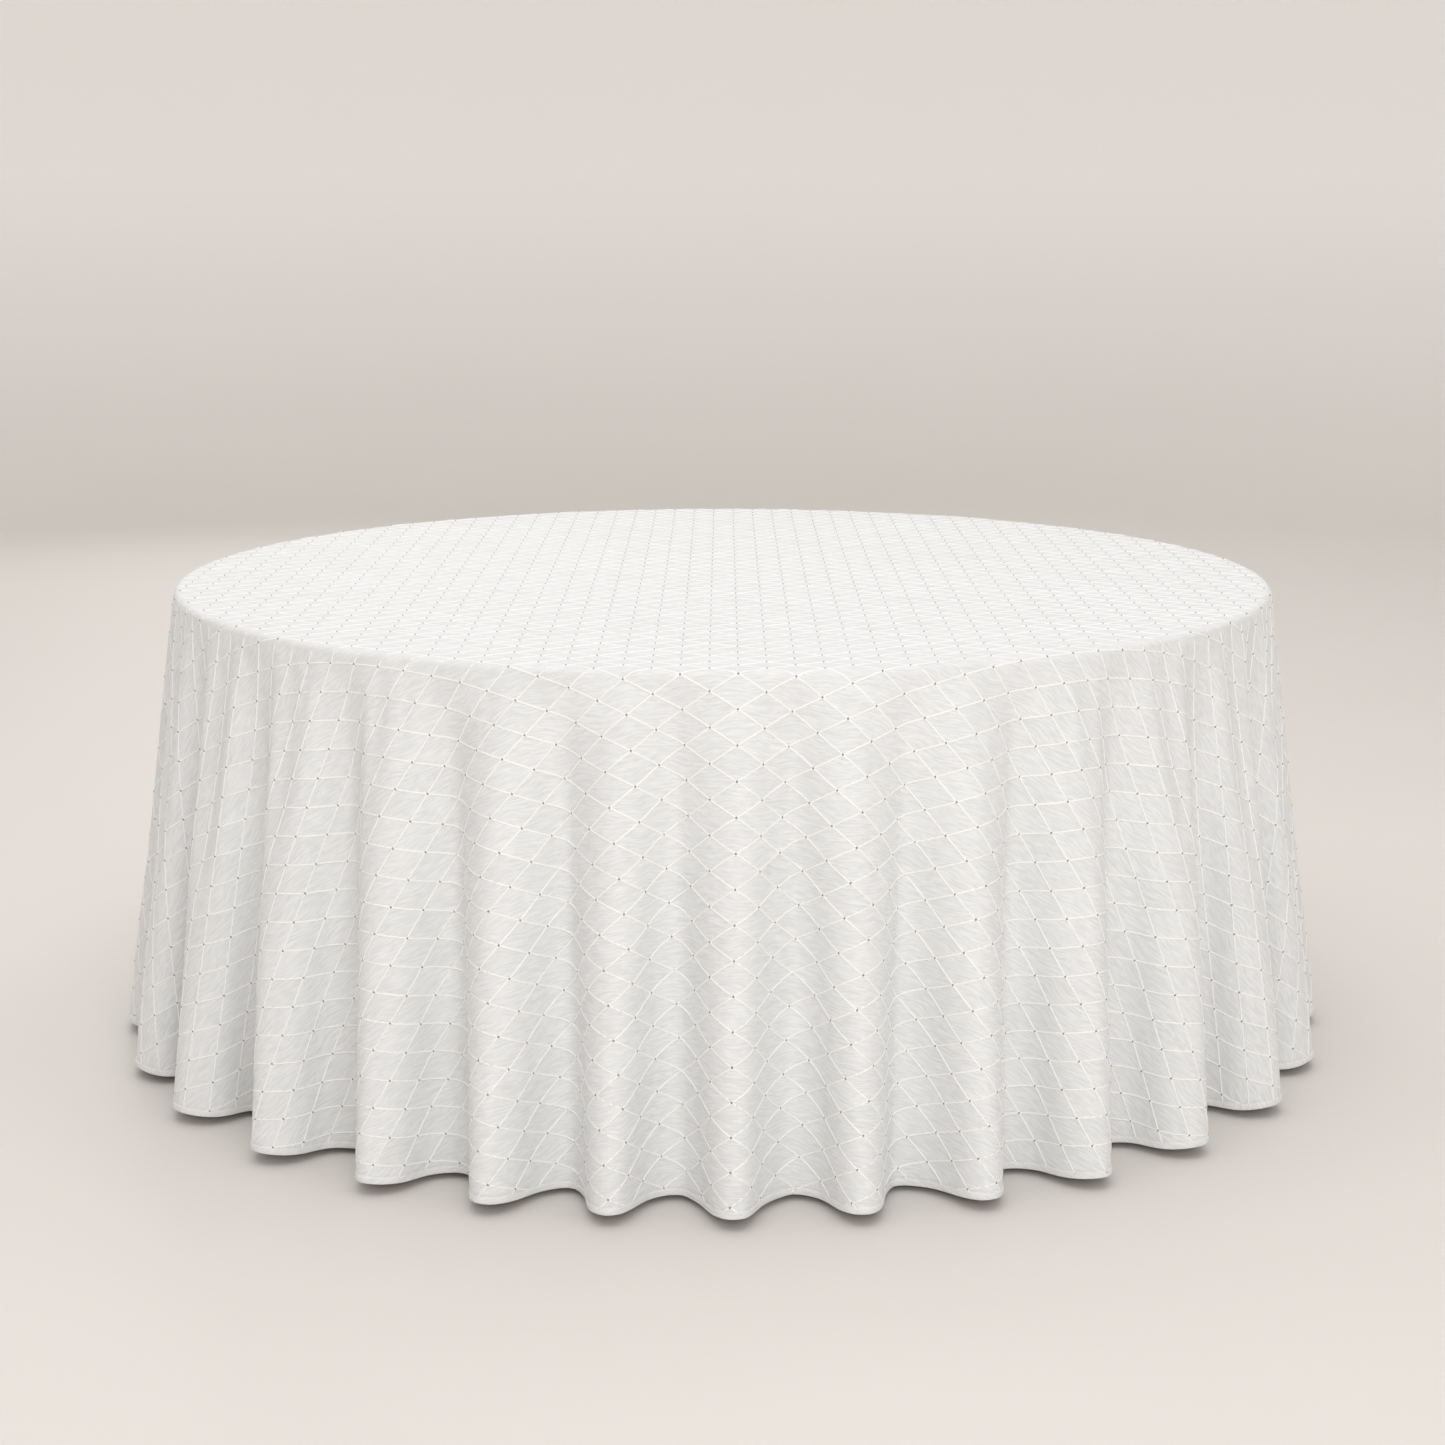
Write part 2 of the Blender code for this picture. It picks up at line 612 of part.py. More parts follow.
def build_leg_frame(side, name, ends, materials):
    """Pivot tube, legs, stretcher, feet and the brace's lug, on one empty on the hinge axis."""
    leg_pivot = make_empty(f"leg_pivot_{name}", side, (HINGE_X, 0, HINGE_Z), turn_y=-SPLAY_ANGLE)
    pivot_ends = [Vector((0, -PIVOT_HALF_LENGTH, 0)), Vector((0, PIVOT_HALF_LENGTH, 0))]
    tube_object(f"pivot_tube_{name}", pivot_ends, PIVOT_RADIUS, materials["steel"], leg_pivot)
    cope_radius = PIVOT_RADIUS + TOUCH_GAP
    cope = tube_object(f"pivot_outline_{name}", pivot_ends, cope_radius, parent=leg_pivot, wall=None)

    outlines = [
        build_leg(name, end_name, sign, cope, leg_pivot, materials)
        for end_name, sign in zip(ends, (-1, 1))
    ]
    reach = leg_y_at(STRETCHER_DROP)
    stretcher_ends = [Vector((0, -reach, -STRETCHER_DROP)), Vector((0, reach, -STRETCHER_DROP))]
    stretcher = tube_object(
        f"stretcher_{name}", stretcher_ends, STRETCHER_RADIUS, materials["steel"], leg_pivot
    )
    for outline in outlines:
        boolean(stretcher, outline, "DIFFERENCE")

    plate = bmesh.new()
    back = BRACE_PIN_OFFSET - STRETCHER_RADIUS - TOUCH_GAP
    front = back - PLATE_THICKNESS
    half_width = BRACE_THICKNESS / 2 + EAR_GAP + EAR_THICKNESS + LUG_MARGIN
    low = (front, LOWER_ARM_Y - half_width, -LUG_LENGTH / 2)
    add_box(plate, low, (back, LOWER_ARM_Y + half_width, LUG_LENGTH / 2))
    place = Matrix.Translation((-BRACE_PIN_OFFSET, 0, -STRETCHER_DROP))
    ear_foot = ((front, -EAR_RADIUS * 1.3), (front + PLATE_THICKNESS / 2, EAR_RADIUS * 1.3))
    add_clevis(f"brace_lug_{name}", plate, ear_foot, LOWER_ARM_Y, (-1, 1), materials["zinc"], leg_pivot, place)
    pin = pin_mesh(LOWER_ARM_Y - ear_reach(), LOWER_ARM_Y + ear_reach())
    make_object(f"brace_lug_pin_{name}", pin, materials["zinc"], leg_pivot, place)
    return leg_pivot


def build_side(name, turn, ends, panel, materials):
    """Everything under one side of the table. ends names its two legs, the one at -Y of the side first."""
    side = make_empty(f"side_{name}", turn_z=turn)
    batten = build_leg_batten(side, name, materials)
    places = [
        (HINGE_X + x_sign * BRACKET_SCREW_X, y_sign * BRACKET_Y) for y_sign in (-1, 1) for x_sign in (-1, 1)
    ]
    seat = BATTEN_UNDERSIDE - TOUCH_GAP - PLATE_THICKNESS
    holes = build_screws(side, name, "bracket_screw", places, seat, materials)
    boolean(batten, holes, "DIFFERENCE")
    for end_name, sign in zip(ends, (-1, 1)):
        build_pivot_bracket(side, f"{name}_{end_name}", sign * BRACKET_Y, holes, materials)
    leg_pivot = build_leg_frame(side, name, ends, materials)
    build_lower_brace(leg_pivot, name, materials)
    build_upper_brace(side, name, materials)
    build_brace_mount(side, name, panel, materials)


# ---------------------------------------------------------------- tablecloth


def cloth_rings():
    """(radius, height) of each ring below the flat top, before any fold, from the top down."""
    centre_r = CLOTH_EDGE_RADIUS - CLOTH_CORNER_RADIUS
    rings = []
    for step in range(1, CLOTH_CORNER_STEPS + 1):
        angle = math.radians(90 * (1 - step / CLOTH_CORNER_STEPS))
        radius = centre_r + CLOTH_CORNER_RADIUS * math.cos(angle)
        rings.append((radius, SKIRT_TOP_Z + CLOTH_CORNER_RADIUS * math.sin(angle)))
    for share in SKIRT_STATIONS:
        rings.append((CLOTH_EDGE_RADIUS, SKIRT_TOP_Z + (HEM_HEIGHT - SKIRT_TOP_Z) * share))
    return rings


def fold_cloth(point):
    """Moves a point of the plain cover outwards and round, to where the folds carry it.

    The folds are crowded together at the front and back and spread at the sides, and each one grows from
    nothing at the table's edge to its full depth at the hem.
    """
    even_angle = math.atan2(point.x, -point.y)
    down = max(0.0, (SKIRT_TOP_Z - point.z) / (SKIRT_TOP_Z - HEM_HEIGHT))
    depth = FOLD_DEPTH * down**FOLD_RISE
    radius = point.xy.length + depth * (1 + math.cos(FOLD_COUNT * even_angle)) / 2
    angle = even_angle - FOLD_CROWDING * math.sin(2 * even_angle) + FOLD_TURN
    return Vector((radius * math.sin(angle), -radius * math.cos(angle), point.z))


def build_tablecloth(materials):
    """The draped cloth: a flat top, a rounded edge and a skirt of folds that deepen to the hem."""
    bm = bmesh.new()
    top_radius = CLOTH_EDGE_RADIUS - CLOTH_CORNER_RADIUS
    bmesh.ops.create_circle(bm, cap_ends=True, segments=FOLD_COUNT * FOLD_SEGMENTS, radius=top_radius)
    bmesh.ops.translate(bm, vec=(0, 0, CLOTH_TOP_Z), verts=bm.verts)
    rim = bm.edges[:]
    for radius, z in cloth_rings():
        grown = bmesh.ops.extrude_edge_only(bm, edges=rim)["geom"]
        rim = [item for item in grown if isinstance(item, bmesh.types.BMEdge) and len(item.link_faces) == 1]
        for vert in {vert for edge in rim for vert in edge.verts}:
            vert.co.xy *= radius / vert.co.xy.length
            vert.co.z = z
    for vert in bm.verts:
        vert.co = fold_cloth(vert.co)
    cloth = make_object("tablecloth", bm, materials["cloth"])
    wall = cloth.modifiers.new("Thickness", "SOLIDIFY")
    wall.thickness = CLOTH_THICKNESS
    wall.offset = -1
    wall.use_even_offset = True


def main():
    clear_scene()
    materials = {
        "cloth": make_material("white_crinkled_cloth", (0.84, 0.84, 0.83), 0.75),
        "plywood": make_material("birch_plywood", (0.62, 0.45, 0.28), 0.5),
        "vinyl": make_material("brown_vinyl_edge", (0.09, 0.06, 0.045), 0.45),
        "hardwood": make_material("poplar_rail", (0.55, 0.40, 0.24), 0.6),
        "steel": make_material("grey_painted_steel", (0.10, 0.10, 0.105), 0.45, 0.2),
        "zinc": make_material("zinc_plated_steel", (0.62, 0.62, 0.60), 0.35, 1.0),
        "rubber": make_material("black_rubber", (0.03, 0.03, 0.03), 0.8),
    }
    panel = build_table_top(materials)
    build_side_rail("side_rail_front", -SIDE_RAIL_Y, materials)
    build_side_rail("side_rail_back", SIDE_RAIL_Y, materials)
    build_side("right", 0.0, ("front", "back"), panel, materials)
    build_side("left", math.pi, ("back", "front"), panel, materials)
    build_tablecloth(materials)


main()
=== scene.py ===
"""Looks of a floor-length round tablecloth on a folding banquet table.

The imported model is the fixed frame. This script drapes the cloth by simulation from its flat round cut,
weaves the raised lattice and its beads over it, turns its hem, and gives the folding table under it smooth
tubes and real finishes. Everything is in metres with +Z up and the front at -Y.
"""

import json
import logging
import math
from dataclasses import dataclass, field
from enum import Enum
from typing import Any

import bmesh
import bpy
import numpy as np
from mathutils import Matrix, Vector


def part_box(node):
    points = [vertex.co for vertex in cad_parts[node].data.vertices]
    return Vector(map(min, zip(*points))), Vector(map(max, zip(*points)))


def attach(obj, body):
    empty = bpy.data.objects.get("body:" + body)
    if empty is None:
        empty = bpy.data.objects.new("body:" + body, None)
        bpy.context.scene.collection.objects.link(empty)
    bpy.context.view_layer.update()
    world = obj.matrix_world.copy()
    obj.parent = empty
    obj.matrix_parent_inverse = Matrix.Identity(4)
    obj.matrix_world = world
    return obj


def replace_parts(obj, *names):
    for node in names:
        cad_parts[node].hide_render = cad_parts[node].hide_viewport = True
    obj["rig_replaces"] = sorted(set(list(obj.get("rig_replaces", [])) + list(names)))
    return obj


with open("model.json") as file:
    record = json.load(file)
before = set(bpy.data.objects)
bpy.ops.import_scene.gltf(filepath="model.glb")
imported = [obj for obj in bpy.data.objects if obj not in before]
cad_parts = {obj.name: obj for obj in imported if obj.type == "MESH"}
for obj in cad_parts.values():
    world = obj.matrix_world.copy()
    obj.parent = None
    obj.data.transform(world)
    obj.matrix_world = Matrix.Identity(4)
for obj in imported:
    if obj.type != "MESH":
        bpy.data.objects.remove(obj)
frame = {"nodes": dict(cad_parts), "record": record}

LOG = logging.getLogger("tablecloth")
CUT_MAP = "OFBake"  # the map that holds the flat cut's own coordinates
MAP_SPAN = 3.4  # the length on the flat cut that fills the map, in metres

Colour = tuple[float, float, float, float]
Place = tuple[float, float, float]


# ---------------------------------------------------------------- shared mesh helpers


def link_object(name: str, data: bpy.types.ID) -> bpy.types.Object:
    """Makes an object at the origin and links it to the scene.

    Args:
        name: The object's name.
        data: Its mesh, curve or light.

    Returns:
        The new object.
    """
    obj = bpy.data.objects.new(name, data)
    bpy.context.scene.collection.objects.link(obj)
    return obj


def mesh_object(
    name: str, bm: bmesh.types.BMesh, material: bpy.types.Material | None = None
) -> bpy.types.Object:
    """Turns a bmesh into a smooth-shaded object.

    Args:
        name: The object's name.
        bm: The finished bmesh, which is freed.
        material: The finish for every face, where it has one.

    Returns:
        The new object.
    """
    mesh = bpy.data.meshes.new(name)
    bm.to_mesh(mesh)
    bm.free()
    if material is not None:
        mesh.materials.append(material)
    mesh.shade_smooth()
    return link_object(name, mesh)


def report(obj: bpy.types.Object) -> None:
    """Logs a piece's name and its number of faces."""
    LOG.info("%s: %d faces", obj.name, len(obj.data.polygons))


def compass(angle: np.ndarray) -> np.ndarray:
    """Level unit directions at angles that are counted round from the front."""
    return np.stack([np.sin(angle), -np.cos(angle)], -1)


def round_angles(count: int) -> np.ndarray:
    """Evenly spaced angles once round, from the front."""
    return np.linspace(0, math.tau, count, endpoint=False)


def curve_mesh(name: str, runs: list, radius: float, roundness: int, caps: bool) -> bpy.types.Mesh:
    """Sweeps a round section along lines of points.

    Args:
        name: The mesh's name.
        runs: The points of each line, one line after another.
        radius: The section's radius.
        roundness: How finely the section is rounded. 0 gives it four sides.
        caps: True to close the ends.

    Returns:
        The mesh, which has no material yet.
    """
    curve = bpy.data.curves.new(name, "CURVE")
    curve.dimensions = "3D"
    curve.bevel_depth = radius
    curve.bevel_resolution = roundness
    curve.use_fill_caps = caps
    for run in runs:
        spline = curve.splines.new("POLY")
        spline.points.add(len(run) - 1)
        spline.points.foreach_set("co", np.column_stack([run, np.ones(len(run))]).ravel())
    draft = link_object(name, curve)
    mesh = bpy.data.meshes.new_from_object(draft.evaluated_get(bpy.context.evaluated_depsgraph_get()))
    bpy.data.objects.remove(draft)
    bpy.data.curves.remove(curve)
    mesh.name = name
    return mesh


def thicken(piece: bpy.types.Object, wall: float) -> None:
    """Gives an open surface a wall that grows inwards.

    Args:
        piece: The surface.
        wall: The wall's thickness.
    """
    modifier = piece.modifiers.new("Wall", "SOLIDIFY")
    modifier.thickness = wall
    modifier.offset = -1.0


def chart_faces(bm: bmesh.types.BMesh, flat: np.ndarray) -> None:
    """Writes the flat cut's coordinates into the cut's map.

    Args:
        bm: The mesh.
        flat: The flat point of each vertex, in the vertices' order.
    """
    chart = bm.loops.layers.uv.new(CUT_MAP)
    for face in bm.faces:
        for loop in face.loops:
            loop[chart].uv = flat[loop.vert.index] / MAP_SPAN + 0.5


def repeat_mesh(
    name: str, unit: bmesh.types.BMesh, places: np.ndarray, material: bpy.types.Material
) -> bpy.types.Object:
    """Joins one copy of a small shape at each place into a single piece.

    Args:
        name: The piece's name.
        unit: The small shape, which is freed.
        places: One 4 x 4 matrix for each copy.
        material: The finish.

    Returns:
        The new object.
    """
    points = np.array([(*vert.co, 1.0) for vert in unit.verts])
    faces = [[vert.index for vert in face.verts] for face in unit.faces]
    unit.free()
    moved = np.einsum("nij,vj->nvi", places, points)[..., :3].reshape(-1, 3)
    copies = [[index + start for index in face] for start in range(0, len(moved), len(points)) for face in faces]
    mesh = bpy.data.meshes.new(name)
    mesh.from_pydata(moved, [], copies)
    mesh.materials.append(material)
    mesh.shade_smooth()
    return link_object(name, mesh)


def frames_from(origins: np.ndarray, along: np.ndarray, normals: np.ndarray) -> np.ndarray:
    """Matrices whose X axis runs along a direction and whose Z axis is a normal.

    Args:
        origins: One point for each matrix.
        along: A direction for each X axis, made square to the normal.
        normals: A unit normal for each Z axis.

    Returns:
        An array of 4 x 4 matrices.
    """
    x_axis = along - normals * (along * normals).sum(1, keepdims=True)
    x_axis /= np.linalg.norm(x_axis, axis=1, keepdims=True)
    made = np.tile(np.eye(4), (len(origins), 1, 1))
    made[:, :3, 0] = x_axis
    made[:, :3, 1] = np.cross(normals, x_axis)
    made[:, :3, 2] = normals
    made[:, :3, 3] = origins
    return made


# ---------------------------------------------------------------- shader helpers


class NodeSheet:
    """Adds and links nodes in one node tree."""

    def __init__(self, tree: bpy.types.NodeTree) -> None:
        """Keeps the tree that nodes go into."""
        self.tree = tree

    def add(self, kind: str, values: dict[str | int, Any] | None = None, **settings: Any) -> bpy.types.Node:
        """Adds a node.

        Args:
            kind: The node's type, such as "ShaderNodeMath".
            values: Inputs by name or number, each a value or another node's output socket.
            **settings: The node's own properties.

        Returns:
            The new node.
        """
        node = self.tree.nodes.new(kind)
        for name, value in settings.items():
            setattr(node, name, value)
        self.fill(node, values or {})
        return node

    def fill(self, node: bpy.types.Node, values: dict[str | int, Any]) -> None:
        """Feeds several of a node's inputs."""
        for name, value in values.items():
            self.feed(node.inputs[name], value)

    def feed(self, socket: bpy.types.NodeSocket, value: Any) -> None:
        """Links an output socket to an input socket, or sets the input's own value.

        Args:
            socket: The input socket.
            value: A value, or another node's output socket.
        """
        if isinstance(value, bpy.types.NodeSocket):
            self.tree.links.new(value, socket)
        else:
            socket.default_value = value

    def maths(self, operation: str, *values: Any) -> bpy.types.NodeSocket:
        """Adds a Math node and returns its output."""
        node = self.add("ShaderNodeMath", dict(enumerate(values)), operation=operation)
        return node.outputs[0]

    def noise(self, vector: Any, scale: Any, detail: float = 2.0, rough: float = 0.5) -> bpy.types.NodeSocket:
        """Adds a noise texture and returns its value."""
        values = {"Vector": vector, "Scale": scale, "Detail": detail, "Roughness": rough}
        return self.add("ShaderNodeTexNoise", values).outputs["Fac"]

    def vector(self, operation: str, first: Any, second: Any) -> bpy.types.NodeSocket:
        """Adds a Vector Math node and returns its vector."""
        return self.add("ShaderNodeVectorMath", {0: first, 1: second}, operation=operation).outputs[0]

    def stretch(self, vector: Any, scale: Place) -> bpy.types.NodeSocket:
        """Scales a vector along each axis and returns it."""
        return self.add("ShaderNodeMapping", {"Vector": vector, "Scale": scale}).outputs[0]

    def ramp(self, value: Any, low: float, high: float, to_low: float, to_high: float) -> bpy.types.NodeSocket:
        """Maps a value from one range to another, held at both ends, and returns it."""
        values = {"Value": value, "From Min": low, "From Max": high, "To Min": to_low, "To Max": to_high}
        return self.add("ShaderNodeMapRange", values).outputs[0]

    def blend(self, share: Any, first: Any, second: Any) -> bpy.types.NodeSocket:
        """Mixes two colours and returns the result."""
        node = self.add("ShaderNodeMix", {0: share, 6: first, 7: second}, data_type="RGBA")
        return node.outputs[2]

    def bump(self, height: Any, distance: float, strength: float = 1.0, below: Any = None) -> bpy.types.NodeSocket:
        """Adds a Bump node.

        Args:
            height: The height, from 0 to 1.
            distance: How far 1 stands out, in metres.
            strength: How much of it shows.
            below: The normal of the bump that it lies on, where there is one.

        Returns:
            The bumped normal.
        """
        values = {"Height": height, "Distance": distance, "Strength": strength}
        if below is not None:
            values["Normal"] = below
        return self.add("ShaderNodeBump", values).outputs[0]


def new_material(name: str) -> tuple[bpy.types.Material, NodeSheet, bpy.types.Node]:
    """Starts a material.

    Args:
        name: The material's name.

    Returns:
        The material, its node sheet, and its Principled BSDF.
    """
    material = bpy.data.materials.new(name)
    material.use_nodes = True
    return material, NodeSheet(material.node_tree), material.node_tree.nodes["Principled BSDF"]


def new_group(name: str, inputs: dict[str, tuple[str, Any]], outputs: dict[str, str]) -> tuple:
    """Starts a shader node group.

    Args:
        name: The group's name.
        inputs: Each input's socket type and default value, by name.
        outputs: Each output's socket type, by name.

    Returns:
        The group's tree, its node sheet, and its input and output nodes.
    """
    tree = bpy.data.node_groups.new(name, "ShaderNodeTree")
    for label, (kind, value) in inputs.items():
        socket = tree.interface.new_socket(label, in_out="INPUT", socket_type=kind)
        if value is not None:
            socket.default_value = value
    for label, kind in outputs.items():
        tree.interface.new_socket(label, in_out="OUTPUT", socket_type=kind)
    sheet = NodeSheet(tree)
    return tree, sheet, sheet.add("NodeGroupInput"), sheet.add("NodeGroupOutput")


def use_group(sheet: NodeSheet, tree: bpy.types.NodeTree, values: dict[str, Any]) -> bpy.types.Node:
    """Places a node group in a material with its own values and returns the node."""
    return sheet.add("ShaderNodeGroup", values, node_tree=tree)


def object_coordinates(sheet: NodeSheet) -> bpy.types.NodeSocket:
    """The piece's own coordinates, in metres."""
    return sheet.add("ShaderNodeTexCoord").outputs["Object"]


class Effects:
    """Shader node groups that several finishes share."""

    DRIFT_SCALE = 16.0
    DRIFT_REACH = 0.03
    PATCH_SCALE = 22.0
    GRAIN_FLOW = (0.9, 7.0, 7.0)
    PORE_FLOW = (18.0, 700.0, 700.0)

    def __init__(self) -> None:
        """Builds each group once."""
        self.threads = self._threads()
        self.speckle = self._speckle()
        self.grain = self._grain()

    def _threads(self) -> bpy.types.NodeTree:
        """Fine crinkled threads that lie mostly along the vector's X axis.

        Returns:
            The group's tree.
        """
        inputs = {
            "Vector": ("NodeSocketVector", None),
            "Length": ("NodeSocketFloat", 30.0),
            "Fineness": ("NodeSocketFloat", 220.0),
        }
        tree, sheet, given, out = new_group("crinkled_threads", inputs, {"Value": "NodeSocketFloat"})
        vector, length, fineness = given.outputs["Vector"], given.outputs["Length"], given.outputs["Fineness"]
        drift = sheet.add("ShaderNodeTexNoise", {"Vector": vector, "Scale": self.DRIFT_SCALE, "Detail": 1.0})
        centred = sheet.vector("SUBTRACT", drift.outputs["Color"], (0.5, 0.5, 0.5))
        bend = {0: centred, "Scale": self.DRIFT_REACH}
        moved = sheet.vector("ADD", vector, sheet.add("ShaderNodeVectorMath", bend, operation="SCALE").outputs[0])
        size = sheet.add("ShaderNodeCombineXYZ", {0: length, 1: fineness, 2: length}).outputs[0]
        sheet.feed(out.inputs["Value"], sheet.noise(sheet.vector("MULTIPLY", moved, size), 1.0, 3.0, 0.6))
        return tree

    def _speckle(self) -> bpy.types.NodeTree:
        """Small pebbles with a slow unevenness under them.

        Returns:
            The group's tree.
        """
        inputs = {"Vector": ("NodeSocketVector", None), "Size": ("NodeSocketFloat", 0.001)}
        outputs = {"Height": "NodeSocketFloat", "Patches": "NodeSocketFloat"}
        tree, sheet, given, out = new_group("speckle", inputs, outputs)
        vector = given.outputs["Vector"]
        pebbles = sheet.noise(vector, sheet.maths("DIVIDE", 1.0, given.outputs["Size"]), 3.0)
        sheet.fill(out, {"Height": pebbles, "Patches": sheet.noise(vector, self.PATCH_SCALE, 4.0, 0.6)})
        return tree

    def _grain(self) -> bpy.types.NodeTree:
        """Wood grain that runs along the vector's X axis.

        Returns:
            The group's tree.
        """
        inputs = {"Vector": ("NodeSocketVector", None), "Rings": ("NodeSocketFloat", 60.0)}
        outputs = {"Figure": "NodeSocketFloat", "Pores": "NodeSocketFloat"}
        tree, sheet, given, out = new_group("wood_grain", inputs, outputs)
        vector = given.outputs["Vector"]
        waves = sheet.noise(sheet.stretch(vector, self.GRAIN_FLOW), 1.6, 3.0, 0.55)
        rings = sheet.maths("SINE", sheet.maths("MULTIPLY", waves, given.outputs["Rings"]))
        pores = sheet.noise(sheet.stretch(vector, self.PORE_FLOW), 1.0, 2.0, 0.5)
        sheet.fill(out, {"Figure": sheet.ramp(rings, -1.0, 1.0, 0.0, 1.0), "Pores": pores})
        return tree


# ---------------------------------------------------------------- finishes


@dataclass(frozen=True)
class WovenCloth:
    """Off-white crinkled cloth with painted shade along its crinkles and a faint change of tone from diamond to
    diamond.
    """

    effects: Effects
    colour: Colour = (0.822, 0.832, 0.84, 1.0)
    # the darker colour that both the painted shade of the crinkles and each diamond's own tone blend towards
    painted_shade_and_tone: Colour = (0.675, 0.684, 0.69, 1.0)
    crinkle_length: float = 42.0
    crinkle_fineness: float = 330.0
    crinkle_depth: float = 0.0008
    weave_length: float = 120.0
    weave_fineness: float = 900.0
    weave_depth: float = 0.0003
    # how much painted shade the crinkles put into the colour
    painted_crinkle_shade_share: float = 0.8
    tone_share: float = 0.2

    def material(self, lattice: "Lattice") -> bpy.types.Material:
        """Builds the material.

        Args:
            lattice: The woven lattice, which the tones follow.

        Returns:
            The cloth's material, which reads the flat cut's own map.
        """
        material, sheet, shader = new_material("crinkled_white_cloth")
        chart = sheet.add("ShaderNodeUVMap", uv_map=CUT_MAP).outputs[0]
        centred = sheet.vector("SUBTRACT", chart, (0.5, 0.5, 0.0))
        flat = sheet.stretch(centred, (MAP_SPAN, MAP_SPAN, 1.0))
        crinkles = self.threads(sheet, flat, self.crinkle_length, self.crinkle_fineness)
        weave = sheet.bump(self.threads(sheet, flat, self.weave_length, self.weave_fineness), self.weave_depth, 0.5)
        # the crinkles' mask: it paints shade into the colour and makes the crinkles glossier
        crinkle_shade_and_gloss = sheet.ramp(crinkles, 0.35, 0.68, 0.0, 1.0)
        painted_crinkle_shade = sheet.maths("MULTIPLY", crinkle_shade_and_gloss, self.painted_crinkle_shade_share)
        tones = sheet.maths("MULTIPLY", lattice.tone_nodes(sheet, flat), self.tone_share)
        looks = {
            # painted shade along the crinkles, together with each diamond's own tone
            "Base Color": sheet.blend(sheet.maths("ADD", painted_crinkle_shade, tones), self.painted_shade_and_tone, self.colour),
            "Roughness": sheet.ramp(crinkle_shade_and_gloss, 0.0, 1.0, 0.78, 0.58),
            "Normal": sheet.bump(crinkles, self.crinkle_depth, 0.8, weave),
            "Sheen Weight": 0.15,
            "Sheen Roughness": 0.5,
            "Specular IOR Level": 0.3,
        }
        sheet.fill(shader, looks)
        return material

    def threads(
        self, sheet: NodeSheet, flat: bpy.types.NodeSocket, length: float, fineness: float
    ) -> bpy.types.NodeSocket:
        """Lays crinkled threads over the flat cut and returns their value."""
        values = {"Vector": flat, "Length": length, "Fineness": fineness}
        return use_group(sheet, self.effects.threads, values).outputs[0]


@dataclass(frozen=True)
class LatticeYarn:
    """The whiter, smoother yarn of the raised lattice and the stitches."""

    effects: Effects
    colour: Colour = (0.95, 0.95, 0.945, 1.0)
    dull: Colour = (0.88, 0.88, 0.87, 1.0)
    twist_size: float = 0.0011
    twist_depth: float = 0.0003

    def material(self) -> bpy.types.Material:
        """Builds the yarn's material, with a fine twist in its bump.

        Returns:
            The material.
        """
        material, sheet, shader = new_material("white_lattice_yarn")
        values = {"Vector": object_coordinates(sheet), "Size": self.twist_size}
        twist = use_group(sheet, self.effects.speckle, values)
        looks = {
            "Base Color": sheet.blend(twist.outputs["Patches"], self.dull, self.colour),
            "Roughness": sheet.ramp(twist.outputs["Height"], 0.3, 0.7, 0.38, 0.55),
            "Normal": sheet.bump(twist.outputs["Height"], self.twist_depth, 0.5),
            "Sheen Weight": 0.1,
        }
        sheet.fill(shader, looks)
        return material


@dataclass(frozen=True)
class GreyBead:
    """A small pearly grey bead."""

    effects: Effects
    colour: Colour = (0.24, 0.24, 0.235, 1.0)
    lighter: Colour = (0.33, 0.33, 0.32, 1.0)
    patch_size: float = 0.02

    def material(self) -> bpy.types.Material:
        """Builds the bead's material, a little different from bead to bead.

        Returns:
            The material.
        """
        material, sheet, shader = new_material("grey_bead")
        values = {"Vector": object_coordinates(sheet), "Size": self.patch_size}
        patches = use_group(sheet, self.effects.speckle, values)
        looks = {
            "Base Color": sheet.blend(patches.outputs["Height"], self.colour, self.lighter),
            "Roughness": sheet.ramp(patches.outputs["Patches"], 0.3, 0.7, 0.22, 0.38),
            "Metallic": 0.4,
            "Coat Weight": 0.4,
        }
        sheet.fill(shader, looks)
        return material


@dataclass(frozen=True)
class BirchPlywood:
    """Clear-lacquered birch plywood: long soft figure on its faces and its plies on its edge."""

    effects: Effects
    pale: Colour = (0.62, 0.43, 0.25, 1.0)
    dark: Colour = (0.42, 0.26, 0.13, 1.0)
    rings: float = 34.0
    underside: float = 0.743
    ply: float = 0.0021

    def material(self) -> bpy.types.Material:
        """Builds the plywood's material.

        Returns:
            The material.
        """
        material, sheet, shader = new_material("birch_plywood")
        place = object_coordinates(sheet)
        grain = use_group(sheet, self.effects.grain, {"Vector": place, "Rings": self.rings})
        figure, pores = grain.outputs["Figure"], grain.outputs["Pores"]
        planks = sheet.blend(figure, self.dark, self.pale)
        pored = sheet.blend(sheet.ramp(pores, 0.55, 0.75, 0.0, 0.45), planks, self.dark)
        height = sheet.add("ShaderNodeSeparateXYZ", {0: place}).outputs[2]
        ply = sheet.maths("DIVIDE", sheet.maths("SUBTRACT", height, self.underside), self.ply)
        layer = sheet.add("ShaderNodeTexWhiteNoise", {"W": sheet.maths("FLOOR", ply)}, noise_dimensions="1D")
        facing = sheet.add("ShaderNodeSeparateXYZ", {0: sheet.add("ShaderNodeNewGeometry").outputs["Normal"]})
        edge = sheet.ramp(sheet.maths("ABSOLUTE", facing.outputs[2]), 0.3, 0.6, 0.7, 0.0)
        plies = sheet.blend(layer.outputs["Value"], self.dark, self.pale)
        looks = {
            "Base Color": sheet.blend(edge, pored, plies),
            "Roughness": sheet.ramp(pores, 0.3, 0.7, 0.38, 0.52),
            "Normal": sheet.bump(pores, 0.0003, 0.5),
            "Coat Weight": 0.25,
        }
        sheet.fill(shader, looks)
        return material


